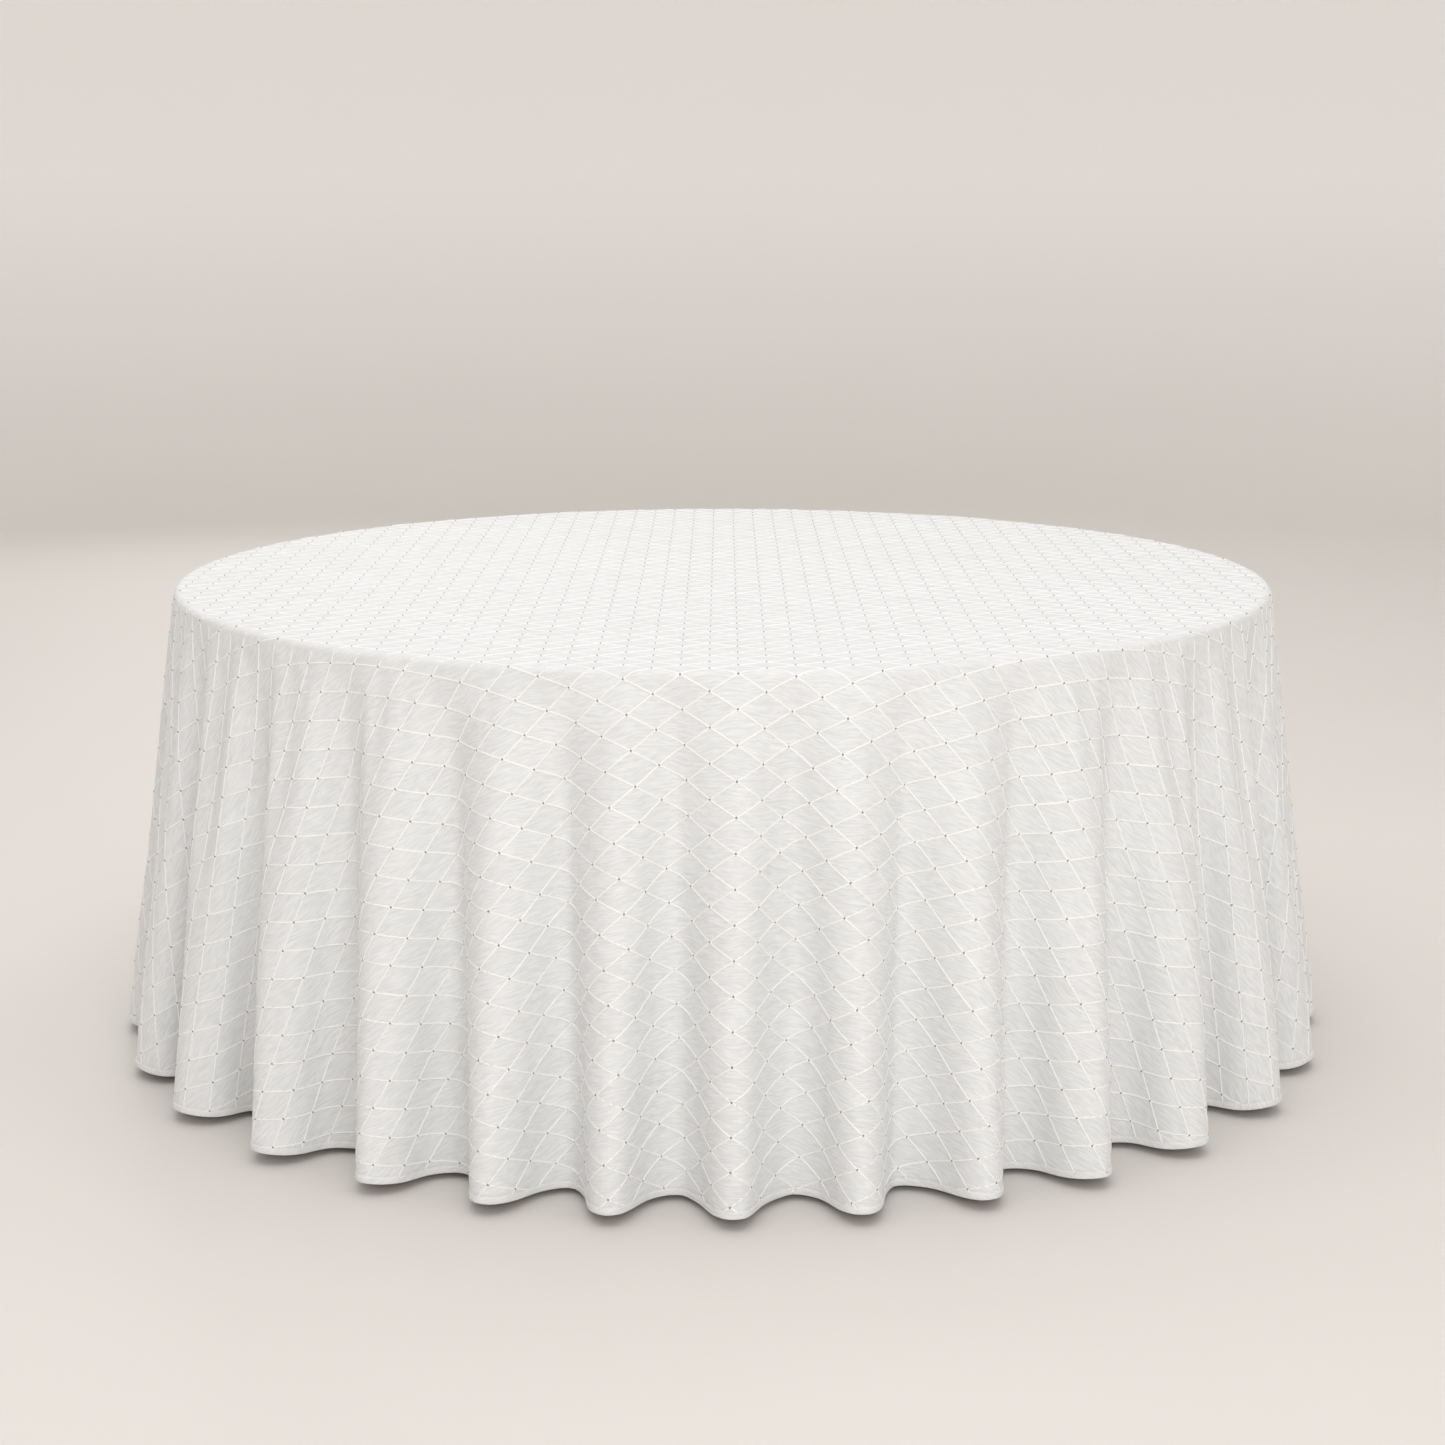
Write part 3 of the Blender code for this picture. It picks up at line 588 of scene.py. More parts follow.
@dataclass(frozen=True)
class PlainPoplar:
    """Sawn poplar rails with a plain straight grain and darker pores."""

    effects: Effects
    pale: Colour = (0.60, 0.47, 0.30, 1.0)
    dark: Colour = (0.43, 0.31, 0.18, 1.0)
    rings: float = 60.0

    def material(self, turn: float = 0.0) -> bpy.types.Material:
        """Builds the rail's material.

        Args:
            turn: How far the grain is turned about the upright axis.

        Returns:
            The material.
        """
        material, sheet, shader = new_material(f"plain_poplar_{round(math.degrees(turn))}")
        along = sheet.add("ShaderNodeMapping", {"Vector": object_coordinates(sheet), "Rotation": (0.0, 0.0, turn)})
        grain = use_group(sheet, self.effects.grain, {"Vector": along.outputs[0], "Rings": self.rings})
        figure, pores = grain.outputs["Figure"], grain.outputs["Pores"]
        planks = sheet.blend(figure, self.dark, self.pale)
        looks = {
            "Base Color": sheet.blend(sheet.ramp(pores, 0.5, 0.8, 0.0, 0.5), planks, self.dark),
            "Roughness": sheet.ramp(pores, 0.3, 0.7, 0.55, 0.72),
            "Normal": sheet.bump(pores, 0.0004, 0.6),
        }
        sheet.fill(shader, looks)
        return material


class Surface(Enum):
    """The hard surfaces that share one pebbled, slightly worn kind of finish."""

    PAINT = "grey_hammered_paint"
    ZINC = "bright_zinc"
    RUBBER = "black_rubber"
    VINYL = "brown_vinyl"


@dataclass(frozen=True)
class HardFinish:
    """How one hard surface looks: two tones, its gloss, and the size and depth of its pebbling."""

    effects: Effects
    surface: Surface
    tone: Colour
    worn: Colour
    gloss: tuple[float, float]
    metallic: float
    pebble: float
    depth: float

    def material(self) -> bpy.types.Material:
        """Builds the surface's material.

        Returns:
            The material.
        """
        material, sheet, shader = new_material(self.surface.value)
        values = {"Vector": object_coordinates(sheet), "Size": self.pebble}
        speckle = use_group(sheet, self.effects.speckle, values)
        height, patches = speckle.outputs["Height"], speckle.outputs["Patches"]
        looks = {
            "Base Color": sheet.blend(sheet.ramp(patches, 0.42, 0.72, 0.0, 1.0), self.tone, self.worn),
            "Roughness": sheet.ramp(patches, 0.3, 0.7, *self.gloss),
            "Normal": sheet.bump(height, self.depth, 0.6),
            "Metallic": self.metallic,
        }
        sheet.fill(shader, looks)
        return material


def hard_finishes(effects: Effects) -> dict[Surface, bpy.types.Material]:
    """Builds every hard finish of the table.

    Args:
        effects: The shared shader groups.

    Returns:
        The materials by surface.
    """
    looks = {
        Surface.PAINT: ((0.16, 0.165, 0.17, 1), (0.21, 0.215, 0.22, 1), (0.3, 0.45), 0.25, 0.0025, 0.0005),
        Surface.ZINC: ((0.55, 0.56, 0.58, 1), (0.68, 0.67, 0.62, 1), (0.22, 0.42), 0.9, 0.004, 0.0001),
        Surface.RUBBER: ((0.018, 0.018, 0.018, 1), (0.05, 0.05, 0.048, 1), (0.6, 0.85), 0.0, 0.0015, 0.0004),
        Surface.VINYL: ((0.075, 0.05, 0.035, 1), (0.11, 0.08, 0.06, 1), (0.32, 0.5), 0.0, 0.0012, 0.0003),
    }
    return {surface: HardFinish(effects, surface, *look).material() for surface, look in looks.items()}


# ---------------------------------------------------------------- the flat cut and its lattice


@dataclass(frozen=True)
class Lattice:
    """The slanting lattice on the flat cut: two families of straight lines that cross in flat diamonds."""

    long_axis: float = 0.079
    short_axis: float = 0.0495
    shift_x: float = -0.018
    shift_y: float = -0.941

    @property
    def side(self) -> float:
        """The length of one side of a diamond."""
        return math.hypot(self.long_axis, self.short_axis) / 2

    def crossings(self, reach: float) -> np.ndarray:
        """Where the lines cross.

        Args:
            reach: How far from the cut's centre crossings are wanted.

        Returns:
            Flat points, one in each row.
        """
        half_x, half_y = self.long_axis / 2, self.short_axis / 2
        count = int((reach + abs(self.shift_y)) / half_y) + 2
        i, j = np.meshgrid(np.arange(-count, count + 1), np.arange(-count, count + 1))
        even = (i + j) % 2 == 0
        points = np.stack([i[even] * half_x + self.shift_x, j[even] * half_y + self.shift_y], 1)
        return points[np.hypot(*points.T) < reach]

    def lines(self, lean: int, reach: float, steps_per_side: int) -> list[np.ndarray]:
        """The lines of one family, each as flat points from edge to edge.

        Args:
            lean: 1 or -1, for the family that rises or falls to the right.
            reach: How far from the cut's centre they run.
            steps_per_side: Points for each side of a diamond.

        Returns:
            An array of flat points for each line.
        """
        along = np.array([self.long_axis, lean * self.short_axis]) / (2 * self.side)
        across = np.array([-along[1], along[0]])
        gap = self.long_axis * self.short_axis / (2 * self.side)
        start = float(np.array([self.shift_x, self.shift_y]) @ across)
        found = []
        for number in range(math.ceil((-reach - start) / gap), math.floor((reach - start) / gap) + 1):
            offset = start + number * gap
            half = math.sqrt(max(reach * reach - offset * offset, 0.0))
            steps = round(2 * half / self.side * steps_per_side)
            if steps > 2:
                run = np.linspace(-half, half, steps + 1)
                found.append(across * offset + along * run[:, None])
        return found

    def tone_nodes(self, sheet: NodeSheet, flat: bpy.types.NodeSocket) -> bpy.types.NodeSocket:
        """Adds nodes that give each diamond a tone of its own.

        Args:
            sheet: The material's nodes.
            flat: The flat cut's coordinates.

        Returns:
            The tone, from 0 to 1.
        """
        parts = sheet.add("ShaderNodeSeparateXYZ", {0: flat})
        x = sheet.maths("DIVIDE", sheet.maths("SUBTRACT", parts.outputs[0], self.shift_x), self.long_axis)
        y = sheet.maths("DIVIDE", sheet.maths("SUBTRACT", parts.outputs[1], self.shift_y), self.short_axis)
        rising = sheet.maths("FLOOR", sheet.maths("ADD", x, y))
        falling = sheet.maths("FLOOR", sheet.maths("SUBTRACT", x, y))
        cell = sheet.add("ShaderNodeCombineXYZ", {0: rising, 1: falling})
        return sheet.add("ShaderNodeTexWhiteNoise", {"Vector": cell.outputs[0]}).outputs["Value"]


@dataclass(frozen=True)
class FoldPlan:
    """Where the folds fall round the table: crowded at the front and back, wider at the sides."""

    count: int = 30
    crowding: float = 0.09
    turn: float = math.radians(1.1)
    crest_fullness: float = 0.85
    samples: int = 64

    def angles(self, even: np.ndarray) -> np.ndarray:
        """The table angles of evenly counted angles. A fold's crest is at each whole turn over the count."""
        return even - self.crowding * np.sin(2 * even) + self.turn

    def lobes(self, even: np.ndarray) -> np.ndarray:
        """How far out the cloth is in its folds, from 0 in a valley to 1 on a broad crest."""
        return ((1 + np.cos(self.count * even)) / 2) ** self.crest_fullness


@dataclass
class Drape:
    """The round cut laid over the table: flat on top, over the edge, and down in folds.

    The skirt starts from folds that hold each ring's true length, and a cloth simulation then settles it.
    """

    plan: FoldPlan = field(default_factory=FoldPlan)
    cut_radius: float = 1.6764
    cover: float = 0.005
    corner_radius: float = 0.010
    columns: int = 480
    rows: int = 38
    crest_radius: float = 1.060
    full_reach: float = 1.034
    valley_front: float = 0.918
    valley_side: float = 0.910
    valley_rise: float = 0.8
    fold_rise: float = 0.78
    deepest_fold: float = 0.25
    frames: int = 20
    take_up: float = 0.009
    floor_gap: float = 0.005
    guard_width: float = 0.904
    guard_depth: float = 0.910
    guard_height: float = 0.9
    guard_drop: float = 0.47
    grid: np.ndarray = field(init=False)

    def __post_init__(self) -> None:
        """Takes the edge and the top from the cloth's place in the frame."""
        self.top_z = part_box("tablecloth")[1].z
        self.edge_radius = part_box("edge_band")[1].x + self.cover
        self.flat_radius = self.edge_radius - self.corner_radius
        self.bend_length = self.corner_radius * math.pi / 2
        self.drop = self.cut_radius - self.flat_radius - self.bend_length
        self.grid = self._first_folds()

    # ---- the first shape

    def _first_folds(self) -> np.ndarray:
        """The skirt before the simulation.

        Returns:
            Rows of points, from the edge down to the hem.
        """
        plan = self.plan
        even = np.linspace(0, math.tau, plan.count * plan.samples + 1)
        angle = plan.angles(even)
        lobes = plan.lobes(even)
        sides = np.sin(angle) ** 2
        valley_hem = self.valley_front * (1 - sides) + self.valley_side * sides
        rings = []
        for row in range(self.rows + 1):
            share = row / self.rows
            valley = self.edge_radius + share**self.valley_rise * (valley_hem - self.edge_radius)
            ring_radius = self.cut_radius - self.drop * (1 - share)
            depth = self._fold_depths(even, angle, lobes, valley, ring_radius)
            depth = np.minimum(depth, (self.crest_radius - valley) * share**self.fold_rise)
            rings.append(self._by_material(even, angle, valley + depth * lobes))
        grid = np.zeros((self.rows + 1, self.columns, 3))
        grid[:, :, :2] = rings
        step = self.drop / self.rows
        run = np.linalg.norm(np.diff(grid[:, :, :2], axis=0), axis=2)
        fall = np.sqrt(np.maximum(step**2 - run**2, (step / 2) ** 2))
        grid[0, :, 2] = self.top_z - self.corner_radius
        grid[1:, :, 2] = grid[0, :, 2] - np.cumsum(fall, axis=0)
        return grid

    def _fold_depths(
        self, even: np.ndarray, angle: np.ndarray, lobes: np.ndarray, valley: np.ndarray, ring_radius: float
    ) -> np.ndarray:
        """How deep each fold must be to take up its ring's true length.

        Args:
            even: Evenly counted angles, with plan.samples of them for each fold.
            angle: Their table angles.
            lobes: How far out the cloth is at each, from 0 to 1.
            valley: The radius of the valleys at each.
            ring_radius: The ring's radius on the flat cut.

        Returns:
            The depth at each angle.
        """
        count = self.plan.count
        fold = np.arange(count)[:, None] * self.plan.samples + np.arange(self.plan.samples + 1)
        wanted = (angle[fold[:, -1]] - angle[fold[:, 0]]) * ring_radius
        low, high = np.zeros(count), np.full(count, self.deepest_fold)
        for _ in range(20):
            depth = (low + high) / 2
            radius = valley[fold] + depth[:, None] * lobes[fold]
            step = np.hypot(np.diff(radius * np.sin(angle[fold])), np.diff(radius * np.cos(angle[fold])))
            short = step.sum(1) < wanted
            low, high = np.where(short, depth, low), np.where(short, high, depth)
        middles = (np.arange(-1, count + 1) + 0.5) / count * math.tau
        return np.interp(even, middles, np.concatenate([low[-1:], low, low[:1]]))

    def _by_material(self, even: np.ndarray, angle: np.ndarray, radius: np.ndarray) -> np.ndarray:
        """Spaces a folded ring's points evenly along the cloth instead of along the angle.

        Args:
            even: Evenly counted angles, with plan.samples of them for each fold.
            angle: Their table angles.
            radius: The ring's radius at each.

        Returns:
            One point for each column.
        """
        x, y = radius * np.sin(angle), -radius * np.cos(angle)
        step = np.hypot(np.diff(x), np.diff(y)).reshape(self.plan.count, -1)
        run = np.cumsum(step, axis=1) / step.sum(1, keepdims=True)
        crest = angle[:: self.plan.samples]
        along = crest[:-1, None] + np.diff(crest)[:, None] * run
        along = np.concatenate([crest[:1], along.ravel()])
        wanted = np.mod(round_angles(self.columns) - along[0], math.tau) + along[0]
        at = np.interp(wanted, along, even)
        return compass(self.plan.angles(at)) * np.interp(at, even, radius)[:, None]

    # ---- the simulation

    def settle(self) -> None:
        """Lets the skirt hang under gravity from the table's edge, and keeps the settled shape."""
        cloth = self._skirt_object()
        guard = self._guard_object()
        scene = bpy.context.scene
        for number in range(1, self.frames + 1):
            scene.frame_set(number)
        settled = cloth.evaluated_get(bpy.context.evaluated_depsgraph_get())
        points = np.zeros(self.grid.size, np.float32)
        settled.data.vertices.foreach_get("co", points)
        self.grid = self._capped(points.reshape(self.grid.shape).astype(float))
        scene.frame_set(1)
        bpy.data.objects.remove(cloth)
        bpy.data.objects.remove(guard)

    def _capped(self, grid: np.ndarray) -> np.ndarray:
        """Keeps the crests inside the cloth's full reach, and takes up the little that the hem's turn uses.

        Args:
            grid: The settled skirt's rows of points, which are changed in place.

        Returns:
            The same rows.
        """
        grid[..., 2] += (self.top_z - grid[..., 2]) * self.take_up
        radius = np.linalg.norm(grid[..., :2], axis=2)
        grid[..., :2] *= (np.minimum(radius, self.full_reach) / radius)[..., None]
        grid[..., 2] = np.maximum(grid[..., 2], self.floor_gap)
        return grid

    def _skirt_object(self) -> bpy.types.Object:
        """The skirt as a cloth object whose rest shape is the flat cut, held along its top ring.

        Returns:
            The object.
        """
        bm = wrapped_grid(self.columns, self.rows)
        set_places(bm, self.grid)
        cloth = mesh_object("skirt", bm)
        cloth.shape_key_add(name="hung")
        flat = cloth.shape_key_add(name="flat")
        flat.data.foreach_set("co", self._flat_rings().astype(np.float32).ravel())
        held = cloth.vertex_groups.new(name="held")
        held.add(list(range(self.columns)), 1.0, "REPLACE")
        self._cloth_settings(cloth.modifiers.new("Cloth", "CLOTH"), flat)
        return cloth

    def _flat_rings(self) -> np.ndarray:
        """The skirt's rings on the flat cut.

        Returns:
            Rows of points, in the order of the skirt's own.
        """
        ring = self.cut_radius - self.drop * (1 - np.arange(self.rows + 1) / self.rows)
        rings = np.full((self.rows + 1, self.columns, 3), self.top_z)
        rings[..., :2] = compass(round_angles(self.columns)) * ring[:, None, None]
        return rings

    def _cloth_settings(self, modifier: bpy.types.ClothModifier, flat: bpy.types.ShapeKey) -> None:
        """Sets the weight and stiffness of a heavy table cloth, in the simulation's own units.

        Args:
            modifier: The cloth simulation.
            flat: The shape in which the cloth is at rest.
        """
        values = {
            "quality": 7,
            "mass": 0.2,
            "tension_stiffness": 30.0,
            "compression_stiffness": 15.0,
            "shear_stiffness": 5.0,
            "bending_stiffness": 1.0,
            "air_damping": 2.0,
            "tension_damping": 10.0,
            "compression_damping": 10.0,
            "shear_damping": 10.0,
            "bending_damping": 0.5,
            "vertex_group_mass": "held",
            "rest_shape_key": flat,
        }
        for name, value in values.items():
            setattr(modifier.settings, name, value)
        modifier.collision_settings.use_self_collision = False
        modifier.collision_settings.distance_min = 0.004
        modifier.point_cache.frame_start = 1
        modifier.point_cache.frame_end = self.frames + 1
        bpy.context.scene.frame_end = self.frames + 1

    def _guard_object(self) -> bpy.types.Object:
        """What keeps the valleys from swinging in under the table: an oval drum just inside its edge.

        Returns:
            The drum, which is there for the simulation only.
        """
        bm = bmesh.new()
        bmesh.ops.create_cone(
            bm, cap_ends=True, segments=180, radius1=1.0, radius2=1.0, depth=self.guard_height
        )
        bmesh.ops.scale(bm, vec=(self.guard_width, self.guard_depth, 1.0), verts=bm.verts)
        bmesh.ops.translate(bm, vec=(0.0, 0.0, self.top_z - self.guard_drop), verts=bm.verts)
        guard = mesh_object("guard", bm)
        guard.modifiers.new("Collision", "COLLISION")
        guard.collision.thickness_outer = 0.002
        guard.collision.damping = 0.5
        guard.collision.cloth_friction = 2.0
        return guard

    # ---- reading places off the drape

    def refine(self, columns: int, rows: int) -> None:
        """Resamples the settled skirt more finely, with smooth curves through its points.

        Args:
            columns: How many points go round.
            rows: How many spans go from the edge to the hem.
        """
        rounds = smooth_rows(np.concatenate([self.grid, self.grid[:, :1]], 1).transpose(1, 0, 2), columns, True)
        self.grid = smooth_rows(rounds[:-1].transpose(1, 0, 2), rows, False)
        self.rows, self.columns = rows, columns

    def place(self, flat: np.ndarray) -> np.ndarray:
        """Where points of the flat cut lie on the draped cloth.

        Args:
            flat: Flat points, one in each row.

        Returns:
            The points in the table's frame.
        """
        reach = np.hypot(flat[:, 0], flat[:, 1])
        angle = np.arctan2(flat[:, 0], -flat[:, 1])
        bend = np.clip((reach - self.flat_radius) / self.corner_radius, 0, math.pi / 2)
        radius = np.minimum(reach, self.flat_radius) + self.corner_radius * np.sin(bend)
        height = self.top_z - self.corner_radius * (1 - np.cos(bend))
        points = np.column_stack([compass(angle) * radius[:, None], height])
        hangs = reach > self.flat_radius + self.bend_length
        points[hangs] = self._on_skirt(reach[hangs], angle[hangs])
        return points

    def _on_skirt(self, reach: np.ndarray, angle: np.ndarray) -> np.ndarray:
        """Points of the skirt.

        Args:
            reach: How far each is from the cut's centre.
            angle: How far round from the front each is on the cut.

        Returns:
            The points, one in each row.
        """
        down = (reach - self.flat_radius - self.bend_length) / self.drop * self.rows
        row = np.clip(down.astype(int), 0, self.rows - 1)
        around = np.mod(angle, math.tau) / math.tau * self.columns
        column = np.floor(around).astype(int)
        u, v = (around - column)[:, None], (down - row)[:, None]
        left, right = column % self.columns, (column + 1) % self.columns
        upper = self.grid[row, left] * (1 - u) + self.grid[row, right] * u
        lower = self.grid[row + 1, left] * (1 - u) + self.grid[row + 1, right] * u
        return upper * (1 - v) + lower * v

    def normals(self, flat: np.ndarray, step: float = 0.004) -> np.ndarray:
        """The cloth's outward direction at flat points, smoothed over a small step.

        Args:
            flat: Flat points, one in each row.
            step: The distance on the flat cut over which the cloth's slope is taken.

        Returns:
            A unit normal for each point.
        """
        reach = np.hypot(flat[:, 0], flat[:, 1])[:, None]
        inside = flat * np.minimum(1.0, (self.cut_radius - 1.5 * step) / np.maximum(reach, 1e-9))
        across = self.place(inside + (step, 0.0)) - self.place(inside - (step, 0.0))
        along = self.place(inside + (0.0, step)) - self.place(inside - (0.0, step))
        out = np.cross(across, along)
        return out / np.linalg.norm(out, axis=1, keepdims=True)


def smooth_rows(rows: np.ndarray, count: int, closed: bool) -> np.ndarray:
    """Resamples a stack of points along its first axis with Catmull-Rom curves.

    Args:
        rows: The stack. A closed one repeats its first entry at its end.
        count: How many spans the result has.
        closed: True when the stack goes round.

    Returns:
        The finer stack, with count + 1 entries.
    """
    spans = len(rows) - 1
    at = np.linspace(0, spans, count + 1)
    span = np.minimum(at.astype(int), spans - 1)
    t = (at - span)[:, None, None]
    before = rows[(span - 1) % spans] if closed else rows[np.maximum(span - 1, 0)]
    after = rows[(span + 2) % spans] if closed else rows[np.minimum(span + 2, spans)]
    first, second = rows[span], rows[span + 1]
    slope_in, slope_out = (second - before) / 2, (after - first) / 2
    return (
        first * (2 * t**3 - 3 * t**2 + 1)
        + slope_in * (t**3 - 2 * t**2 + t)
        + second * (3 * t**2 - 2 * t**3)
        + slope_out * (t**3 - t**2)
    )


def wrapped_grid(columns: int, rows: int) -> bmesh.types.BMesh:
    """A grid whose last column is welded to its first, with its vertices in order row by row.

    Args:
        columns: How many vertices go round.
        rows: How many spans it has the other way.

    Returns:
        The bmesh.
    """
    bm = bmesh.new()
    bmesh.ops.create_grid(bm, x_segments=columns, y_segments=rows, size=1.0)
    bm.verts.ensure_lookup_table()
    wide = columns + 1
    seam = {bm.verts[row * wide + columns]: bm.verts[row * wide] for row in range(rows + 1)}
    bmesh.ops.weld_verts(bm, targetmap=seam)
    bmesh.ops.reverse_faces(bm, faces=bm.faces)
    bm.verts.index_update()
    bm.verts.ensure_lookup_table()
    return bm


def set_places(bm: bmesh.types.BMesh, grid: np.ndarray) -> None:
    """Puts a wrapped grid's vertices at the points of an array of rows."""
    for vert, point in zip(bm.verts, grid.reshape(-1, 3)):
        vert.co = point


# ---------------------------------------------------------------- the cloth's pieces


@dataclass
class Tablecloth:
    """The cloth and what is worked into it: its lattice, its beads and its hem."""

    drape: Drape
    lattice: Lattice
    yarn_radius: float = 0.0017
    yarn_sink: float = 0.0006
    yarn_steps: int = 4
    yarn_margin: float = 0.003
    bead_radius: float = 0.0018
    bead_height: float = 0.0014
    bead_lift: float = 0.0001
    bead_margin: float = 0.006
    hem_width: float = 0.011
    hem_fullness: float = 0.0013
    hem_margin: float = 1e-6
    stitch_pitch: float = 0.0055
    stitch_share: float = 0.33
    stitch_width: float = 0.0004
    stitch_height: float = 0.0003
    stitch_inset: float = 0.0022
    wall: float = 0.0008
    top_rings: tuple[float, ...] = (0.0, 0.3, 0.62)
    corner_rows: int = 4

    def build(self, effects: Effects) -> list[bpy.types.Object]:
        """Args:
            effects: The shared shader groups.

        Returns:
            The pieces, the cloth first.
        """
        cloth = self.cloth(WovenCloth(effects).material(self.lattice))
        yarn = LatticeYarn(effects).material()
        trims = [
            self.yarns("lattice_yarns_rising", 1, yarn),
            self.yarns("lattice_yarns_falling", -1, yarn),
            self.beads(GreyBead(effects).material()),
            self.hem(cloth.data.materials[0]),
            self.stitches(yarn),
        ]
        for piece in (cloth, *trims):
            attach(piece, "cloth")
        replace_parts(cloth, "tablecloth")
        return [cloth, *trims]

    def cloth(self, material: bpy.types.Material) -> bpy.types.Object:
        """The cloth as one seamless sheet with its pole and seam closed.

        Args:
            material: The cloth's finish.

        Returns:
            The cloth's object.
        """
        drape = self.drape
        corner = np.linspace(0, drape.bend_length, self.corner_rows, endpoint=False) + drape.flat_radius
        skirt = drape.flat_radius + drape.bend_length + drape.drop * np.arange(drape.rows + 1) / drape.rows
        reach = np.concatenate([self.top_rings, corner, skirt])
        flat = reach[:, None, None] * compass(round_angles(drape.columns))
        flat = flat.reshape(-1, 2) * (1 - 1e-9)
        bm = wrapped_grid(drape.columns, len(reach) - 1)
        set_places(bm, drape.place(flat))
        chart_faces(bm, flat)
        bmesh.ops.pointmerge(bm, verts=bm.verts[: drape.columns], merge_co=(0.0, 0.0, drape.top_z))
        cloth = mesh_object("tablecloth_draped", bm, material)
        thicken(cloth, self.wall)
        return cloth

    def yarns(self, name: str, lean: int, material: bpy.types.Material) -> bpy.types.Object:
        """One family of the lattice's raised yarns, which run unbroken from hem to hem.

        Args:
            name: The piece's name.
            lean: 1 or -1, for the family that rises or falls to the right.
            material: The yarn's finish.

        Returns:
            The piece.
        """
        lines = self.lattice.lines(lean, self.drape.cut_radius - self.yarn_margin, self.yarn_steps)
        runs = [self.drape.place(flat) - self.drape.normals(flat) * self.yarn_sink for flat in lines]
        mesh = curve_mesh(name, runs, self.yarn_radius, 0, True)
        mesh.materials.clear()
        mesh.materials.append(material)
        mesh.shade_smooth()
        return link_object(name, mesh)

    def beads(self, material: bpy.types.Material) -> bpy.types.Object:
        """A low round bead on each crossing of the lattice.

        Args:
            material: The bead's finish.

        Returns:
            The piece.
        """
        flat = self.lattice.crossings(self.drape.cut_radius - self.bead_margin)
        normals = self.drape.normals(flat)
        bm = bmesh.new()
        bmesh.ops.create_uvsphere(bm, u_segments=8, v_segments=4, radius=self.bead_radius)
        whole = bm.verts[:] + bm.edges[:] + bm.faces[:]
        bmesh.ops.bisect_plane(bm, geom=whole, dist=1e-6, plane_co=(0, 0, 0), plane_no=(0, 0, 1), clear_inner=True)
        bmesh.ops.contextual_create(bm, geom=[edge for edge in bm.edges if edge.is_boundary])
        bmesh.ops.scale(bm, vec=(1.0, 1.0, self.bead_height / self.bead_radius), verts=bm.verts)
        bmesh.ops.recalc_face_normals(bm, faces=bm.faces)
        across = np.tile((1.0, 0.2, 0.1), (len(flat), 1))  # any direction that is never upright
        places = frames_from(self.drape.place(flat) + normals * self.bead_lift, across, normals)
        return repeat_mesh("crossing_beads", bm, places, material)

    def hem(self, material: bpy.types.Material) -> bpy.types.Object:
        """The turned hem: a flat folded band that closes round the cloth's edge.

        Args:
            material: The cloth's finish.

        Returns:
            The piece.
        """
        full, wide, inner = self.hem_fullness, self.hem_width, -self.hem_fullness
        section = [  # how far out from the cloth, and how far up from its edge
            (0.0002, wide),
            (full * 0.7, wide - 0.0006),
            (full, wide - 0.002),
            (full, 0.002),
            (full * 0.6, 0.0004),
            (0.0, 0.0),
            (inner * 0.9, 0.0004),
            (inner - self.wall, 0.002),
            (inner, wide - 0.001),
            (-self.wall, wide),
        ]
        way = compass(round_angles(self.drape.columns))
        edge = self.drape.cut_radius - self.hem_margin
        flats = [way * (edge - rise) for _, rise in section]
        rings = [
            self.drape.place(flat) + self.drape.normals(flat) * out for flat, (out, _) in zip(flats, section)
        ]
        bm = wrapped_grid(self.drape.columns, len(section))
        set_places(bm, np.array([*rings, rings[0]]))
        chart_faces(bm, np.concatenate([*flats, flats[0]]))
        bmesh.ops.remove_doubles(bm, verts=bm.verts, dist=1e-7)
        bmesh.ops.recalc_face_normals(bm, faces=bm.faces)
        return mesh_object("turned_hem", bm, material)

    def stitches(self, material: bpy.types.Material) -> bpy.types.Object:
        """A row of small running stitches just below the top of the turned hem.

        Args:
            material: The thread's finish.

        Returns:
            The piece.
        """
        reach = self.drape.cut_radius - self.hem_width + self.stitch_inset
        angle = round_angles(round(math.tau * reach / self.stitch_pitch))
        flat, ahead = reach * compass(angle), reach * compass(angle + 0.001)
        normals = self.drape.normals(flat)
        points = self.drape.place(flat)
        bm = bmesh.new()
        bmesh.ops.create_uvsphere(bm, u_segments=5, v_segments=4, radius=1.0)
        size = (self.stitch_pitch * self.stitch_share, self.stitch_width, self.stitch_height)
        bmesh.ops.scale(bm, vec=size, verts=bm.verts)
        places = frames_from(points + normals * self.hem_fullness, self.drape.place(ahead) - points, normals)
        return repeat_mesh("hem_stitches", bm, places, material)


# ---------------------------------------------------------------- the folding table

TUBE_ROUNDNESS = 10  # how finely a tube's section is rounded
TUBE_WALL = 0.0015


def node_bodies() -> dict[str, str]:
    """The body that each CAD node rides on."""
    groups = frame["record"]["behaviour"]["bodies"]
    return {node: body for body, members in groups.items() for node in members}


def rounded_bend(corners: list[Vector], half: float, steps: int = 10) -> list[Vector]:
    """A three-point route with its middle corner rounded.

    Args:
        corners: Start, corner and end.
        half: How far from the corner the rounding starts and ends.
        steps: How many spans the rounding has.

    Returns:
        The route's points.
    """
    start, corner, end = corners
    near = corner + (start - corner).normalized() * half
    far = corner + (end - corner).normalized() * half
    shares = [step / steps for step in range(steps + 1)]
    bend = [near * (1 - t) ** 2 + corner * (2 * t * (1 - t)) + far * t**2 for t in shares]
    return [start, *bend, end]


